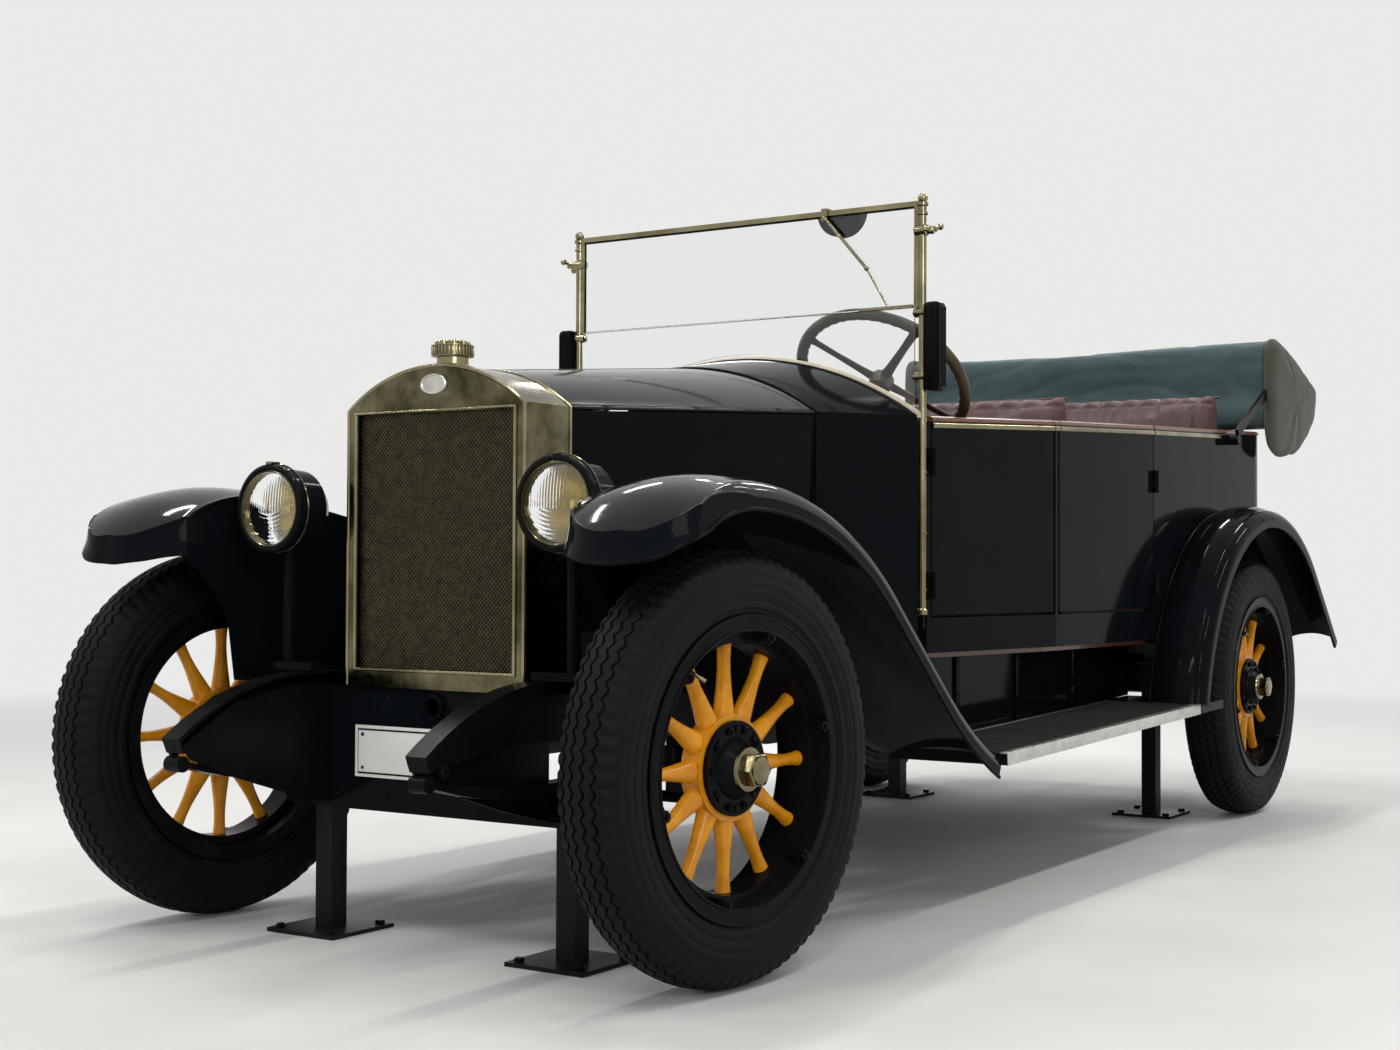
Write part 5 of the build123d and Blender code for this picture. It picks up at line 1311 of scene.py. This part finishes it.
def sew_channels(piece, pitch, half, facing, seam, across):
    """Press sewn channels into the faces that look one way: rounded pleats and one cross seam."""
    facing = Vector(facing).normalized()
    normals = [v.normal.copy() for v in piece.data.vertices]
    for vertex, normal in zip(piece.data.vertices, normals):
        share = clamped((normal.dot(facing) - 0.05) / 0.4)
        if not share:
            continue
        edge = clamped((half - abs(vertex.co.y)) / 0.02)
        wave = abs(sin(pi * (vertex.co.y + half) / pitch))
        gap = abs((vertex.co - seam).dot(across))
        pleat = PLEAT_DEPTH * (1 - wave ** 0.55) * share * edge
        vertex.co -= normal * max(pleat, SEAM_DEPTH * share * max(0.0, 1 - (gap / SEAM_HALF) ** 2))
    piece.data.update()


VOXEL = 0.0120
PLEAT_DEPTH, SEAM_DEPTH, SEAM_HALF = 0.0105, 0.007, 0.009
FACING = {"cushion": (0.1, 0, 1), "back": (1, 0, 0.3)}
SEATS = {
    "front": dict(
        half={"cushion": 500, "back": 540}, pleat=0.0666, plinth=((-1812, 553), (-1432, 808)),
        cushion=((-1425, 812), (-1418, 886), (-1765, 862), (-1775, 812)),
        back=((-1785, 868), (-1848, 1194), (-1890, 1194), (-1884, 812), (-1795, 812))),
    "rear": dict(
        half={"cushion": 525, "back": 560}, pleat=0.0666 * 0.985, plinth=((-3160, 553), (-2512, 798)),
        cushion=((-2495, 804), (-2488, 915), (-2895, 880), (-2905, 804)),
        back=((-2918, 886), (-3018, 1288), (-3092, 1288), (-3135, 804), (-2925, 804))),
}


def swell_blanks(blanks):
    """Swell all cushions and backs, and keep each back's height and every part's width."""
    spans = {key: spans_of(piece, (1, 2) if key[1] == "back" else (1,)) for key, piece in blanks.items()}
    swell(list(blanks.values()), 0.026)
    for (row, part), piece in blanks.items():
        refit(piece, spans[row, part])
        if part == "back":
            level_top(piece, SEATS[row]["half"]["back"] / 1000)
            refit(piece, spans[row, part])


def make_seats():
    """Pleated cushions and backs, swollen by cloth pressure and then sewn, on leather-covered boxes."""
    blanks = {}
    for row, seat in SEATS.items():
        for part in FACING:
            blanks[row, part] = cushion_blank(f"{row}_{part}", seat[part], seat["half"][part] - 12)
    swell_blanks(blanks)
    for (row, part), piece in blanks.items():
        seat = SEATS[row]
        half = seat["half"][part] / 1000
        piece.modifiers.new("smooth", "SUBSURF").levels = 1
        apply_modifiers(piece)
        x, z = seat[part][1]
        if part == "cushion":
            seam, across = mm(x - 34, 0, 0), (1, 0, 0)
        else:
            seam, across = mm(x + 10, 0, z - 22), (-0.25, 0, 0.97)
        sew_channels(piece, seat["pleat"], half, FACING[part], seam, Vector(across))
        smooth(piece.data)
        piece.data.materials.clear()
        piece.data.materials.append(LEATHER)
        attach(piece, CHASSIS)
        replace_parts(piece, f"{row}_seat")
        if part == "back":
            x, z = seat["back"][2]
            end = seat["half"]["back"] - 28
            welt = Shape()
            welt.tube([mm(x + 6, share * end, z - 4) for share in (1, 0.5, 0, -0.5, -1)], 0.0045, up=(0, 0, 1))
            welt.made(f"{row}_back_welt", LEATHER)
    for row, seat in SEATS.items():
        (x0, z0), (x1, z1) = seat["plinth"]
        end = seat["half"]["cushion"]
        box = Shape()
        box.box(mm(x0, 6 - end, z0), mm(x1, end - 6, z1), 0.012)
        for y in range(60 - end, end - 50, 88):
            box.turned([(-0.0005, 0.0055), (0.0018, 0.0045), (0.0026, 0.001)], spot(x1, y, z1 - 26), 10)
        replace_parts(box.made(f"{row}_seat_box", LEATHER), f"{row}_seat")
        if row == "front":
            shell = Shape()
            shell.box(mm(-1898, -496, 600), mm(-1886, 496, 1160), 0.006)
            for z in (640, 900, 1135):
                shell.tube([mm(-1900, y, z) for y in (-470, 470)], 0.004)
            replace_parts(shell.made("front_seat_rear_board", LEATHER), "front_seat")


PILE_TOP, PILE_SWING = 555.5, 2.2


def make_carpets():
    """Laid floor carpets with a slightly uneven pile."""
    for name, x0, x1, half in (("carpet_front", -1426, -1108, 430), ("carpet_rear", -2502, -1912, 535)):
        columns, rows = 40, 30
        rings = []
        for i in range(rows + 1):
            x = x0 + (x1 - x0) * i / rows
            pile = [noise.noise(Vector((x / 90, j / 3, 1))) for j in range(columns + 1)]
            rings.append([mm(x, half - 2 * half * j / columns, PILE_TOP + PILE_SWING * height)
                          for j, height in enumerate(pile)])
        shape = Shape()
        shape.rings(rings, closed_round=False)
        piece = shape.made(name, CARPET, sharp=60)


# Folded hood: a rolled bundle across the back, with a bag over each end
HOOD_POINTS, HOOD_HALF, HOOD_ROUNDING = 120, 652, 622
HOOD_OUTLINE = ((-3262, 1206), (-3254, 1330), (-3246, 1452), (-3268, 1476), (-3312, 1479),
                (-3420, 1448), (-3560, 1405), (-3690, 1362), (-3728, 1338), (-3738, 1300),
                (-3715, 1268), (-3600, 1238), (-3460, 1212), (-3340, 1200))


def smooth_loop(points, count):
    """Closed curve through points, as count even samples."""
    def curved(a, b, c, d, t):
        return 0.5 * (2 * b + (c - a) * t + (2 * a - 5 * b + 4 * c - d) * t * t + (3 * b - a - 3 * c + d) * t ** 3)

    rows = []
    for i in range(len(points)):
        four = [points[(i + k - 1) % len(points)] for k in range(4)]
        for s in range(12):
            rows.append(tuple(curved(*numbers, s / 12) for numbers in zip(*four)))
    lengths = [0.0]
    for a, b in zip(rows, rows[1:] + rows[:1]):
        lengths.append(lengths[-1] + sqrt((a[0] - b[0]) ** 2 + (a[1] - b[1]) ** 2))
    found, at = [], 0
    for k in range(count):
        want = lengths[-1] * k / count
        while lengths[at + 1] < want:
            at += 1
        share = (want - lengths[at]) / (lengths[at + 1] - lengths[at])
        found.append(mixed(rows[at], rows[(at + 1) % len(rows)], share))
    return found


def laid_out(x, z, middle, size, height):
    """Point moved from a section's middle: scaled, and pushed outward by a height."""
    nx, nz = x - middle[0], z - middle[1]
    away = max(1.0, sqrt(nx * nx + nz * nz))
    return middle[0] + nx * size + nx / away * height, middle[1] + nz * size + nz / away * height


def fold_height(s, y, seed):
    """Height of soft folds in millimetres, at a place round the section and along the hood."""
    broad = noise.noise(Vector((s * 5.0, y / 620, seed))) * 9
    long_folds = sin(2 * pi * (s * 9 + 0.35 * noise.noise(Vector((s * 3, y / 300, seed + 7))))) * 2.4
    creases = -4.5 * max(0.0, 1 - abs(noise.noise(Vector((s * 13, y / 380, seed + 3)))) * 9)
    return broad + long_folds + creases


def make_hood():
    """The bundle of folded cloth, rounded off at its ends, and the bags over them."""
    section = smooth_loop(HOOD_OUTLINE, HOOD_POINTS)
    middle = tuple(sum(values) / HOOD_POINTS for values in zip(*section))
    rings, columns = [], 132
    for i in range(columns + 1):
        y = HOOD_HALF * (1 - 2 * i / columns)
        ends = max(0.0, (abs(y) - HOOD_ROUNDING) / (HOOD_HALF - HOOD_ROUNDING))
        shrink = sqrt(max(0.02, 1 - ends ** 2.4))
        ring = []
        for k, (x, z) in enumerate(section):
            s = k / HOOD_POINTS
            px, pz = laid_out(x, z, middle, shrink, fold_height(s, y, 2.0) - 6)
            sag = 6 * cos(pi * y / 1300) ** 2 * max(0.0, (z - middle[1]) / 150)
            if 0.02 < s < 0.2 and z < 1330:
                px += 9 * max(0.0, sin(y / 17)) * max(0.0, 1 - abs(y - 470) / 110) * min(1.0, (1330 - z) / 60)
            ring.append(mm(px, y, pz - sag))
        rings.append(ring)
    shape = Shape()
    shape.rings(rings, capped=True)
    bundle = shape.made("hood_bundle", MATERIALS["canvas"], sharp=70)
    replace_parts(bundle, "folded_hood")
    for side, word in SIDES.items():
        make_bag(side, word)


BAG_POINTS, BAG_MIDDLE = 110, (-3480, 1320)
BAG_STEPS = ((627, 0.10, 0.985), (629, 0.30, 1.006), (633, 0.55, 1.012), (639, 0.85, 1.006),
             (646, 1.0, 0.994), (653, 1.0, 0.965), (660, 1.0, 0.91), (664, 1.0, 0.81),
             (667, 1.0, 0.63), (669, 1.0, 0.41), (670, 1.0, 0.18))
BAG_OUTLINE = ((-3238, 1128), (-3226, 1230), (-3232, 1350), (-3238, 1455), (-3268, 1484),
               (-3316, 1487), (-3430, 1454), (-3580, 1410), (-3712, 1364), (-3742, 1335),
               (-3748, 1286), (-3715, 1236), (-3610, 1168), (-3480, 1120), (-3350, 1104))


def make_bag(side, word):
    """Cloth bag over one end of the hood: it starts on the bundle, closes over its end and hangs below it."""
    section, inner = smooth_loop(BAG_OUTLINE, BAG_POINTS), smooth_loop(HOOD_OUTLINE, BAG_POINTS)
    rings = []
    for y, share, size in BAG_STEPS:
        ring = []
        for k, (a, b) in enumerate(zip(inner, section)):
            s = k / BAG_POINTS
            x, z = mixed(a, b, share)
            folds = fold_height(s, y * 3, 5.0) * 0.55 * (0.35 + share) + 3.5 * share * sin(10 * pi * s + y / 31)
            px, pz = laid_out(x, z, BAG_MIDDLE, size, folds if y < 655 else folds * 0.5)
            rough = (4.5 if y > 640 else 2.5) * noise.noise(Vector((x / 80, z / 60, 9)))
            ring.append(mm(px, side * (y + rough), pz))
        rings.append(ring)
    shape = Shape()
    shape.rings(rings, capped=True)
    bag = shape.made(f"hood_bag_{word}", BAG_CLOTH, sharp=70)
    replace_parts(bag, "folded_hood")


make_seats()
make_carpets()
make_hood()


# Stage and light
FLOOR_HALF = 40
FADE = (3.2, 7.5)
WHITE = (0.82, 0.82, 0.81)


def make_stage():
    """A pale floor that keeps the shadow and fades to white, and a world that is white where it is seen."""
    mesh = bpy.data.meshes.new("floor")
    corners = [(x * FLOOR_HALF, y * FLOOR_HALF, 0) for x, y in ((-1, -1), (1, -1), (1, 1), (-1, 1))]
    mesh.from_pydata(corners, [], [(0, 1, 2, 3)])
    floor = bpy.data.objects.new("floor", mesh)
    SCENE.collection.objects.link(floor)
    floor.location.z = -0.0005
    n = Nodes("pale_floor")
    speckle = n.noise(3, 3, 0.5)
    tone = n.colours(speckle, (0.66, 0.65, 0.63), (0.70, 0.69, 0.67))
    mesh.materials.append(n.finished(tone, n.spread(speckle, 0.55, 0.65)))
    away = n.add("ShaderNodeVectorMath", ((0, n.coords()),), operation="LENGTH").outputs["Value"]
    far = n.math("MULTIPLY", n.spread(away, 0.0, 1.0, *FADE), n.seen())
    white = n.add("ShaderNodeEmission", (("Color", WHITE),)).outputs[0]
    mix = n.add("ShaderNodeMixShader", ((0, far), (1, n.shader.outputs[0]), (2, white)))
    n.feed(n.output.inputs["Surface"], mix.outputs[0])
    world = bpy.data.worlds.new("studio")
    SCENE.world = world
    world.use_nodes = True
    n = Tree(world.node_tree)
    n.tree.nodes.clear()
    plain = n.add("ShaderNodeBackground", (("Color", (0.90, 0.93, 1.0)), ("Strength", 0.42))).outputs[0]
    bright = n.add("ShaderNodeBackground", (("Color", WHITE), ("Strength", 1.0))).outputs[0]
    mix = n.add("ShaderNodeMixShader", ((0, n.seen()), (1, plain), (2, bright)))
    n.add("ShaderNodeOutputWorld", (("Surface", mix.outputs[0]),))


def lamp(name, at, toward, size, power, colour=(1, 1, 1), mirrored=True):
    """Rectangular soft light, mirrored in glossy surfaces or not."""
    data = bpy.data.lights.new(name, "AREA")
    data.shape = "RECTANGLE"
    data.size, data.size_y = size
    data.energy = power
    data.color = colour
    light = bpy.data.objects.new(name, data)
    SCENE.collection.objects.link(light)
    light.visible_glossy = mirrored
    light.visible_camera = False
    light.visible_transmission = False
    light.location = at
    light.rotation_mode = "QUATERNION"
    light.rotation_quaternion = (Vector(toward) - Vector(at)).to_track_quat("-Z", "Y")


make_stage()
for row, x in enumerate((-3.6, -1.2, 1.2, 3.6)):
    for column, y in enumerate((-2.4, 0.0, 2.4)):
        lamp(f"panel_{row}_{column}", (x, y, 3.7), (x, y, 0), (1.25, 0.14), 25, (1, 0.98, 0.94))
lamp("front_left", (4.8, 4.4, 2.4), (0.6, 0, 0.6), (2.2, 1.6), 70, (1, 0.98, 0.95))
lamp("front_right", (5.0, -3.8, 2.2), (0.6, 0, 0.6), (2.0, 1.4), 55, (0.96, 0.98, 1), mirrored=False)
lamp("rear", (-4.6, -2.4, 2.6), (-0.8, 0, 0.8), (2.2, 1.4), 50, (1, 0.98, 0.95))

SCENE.view_settings.view_transform = "Standard"

bpy.context.view_layer.update()
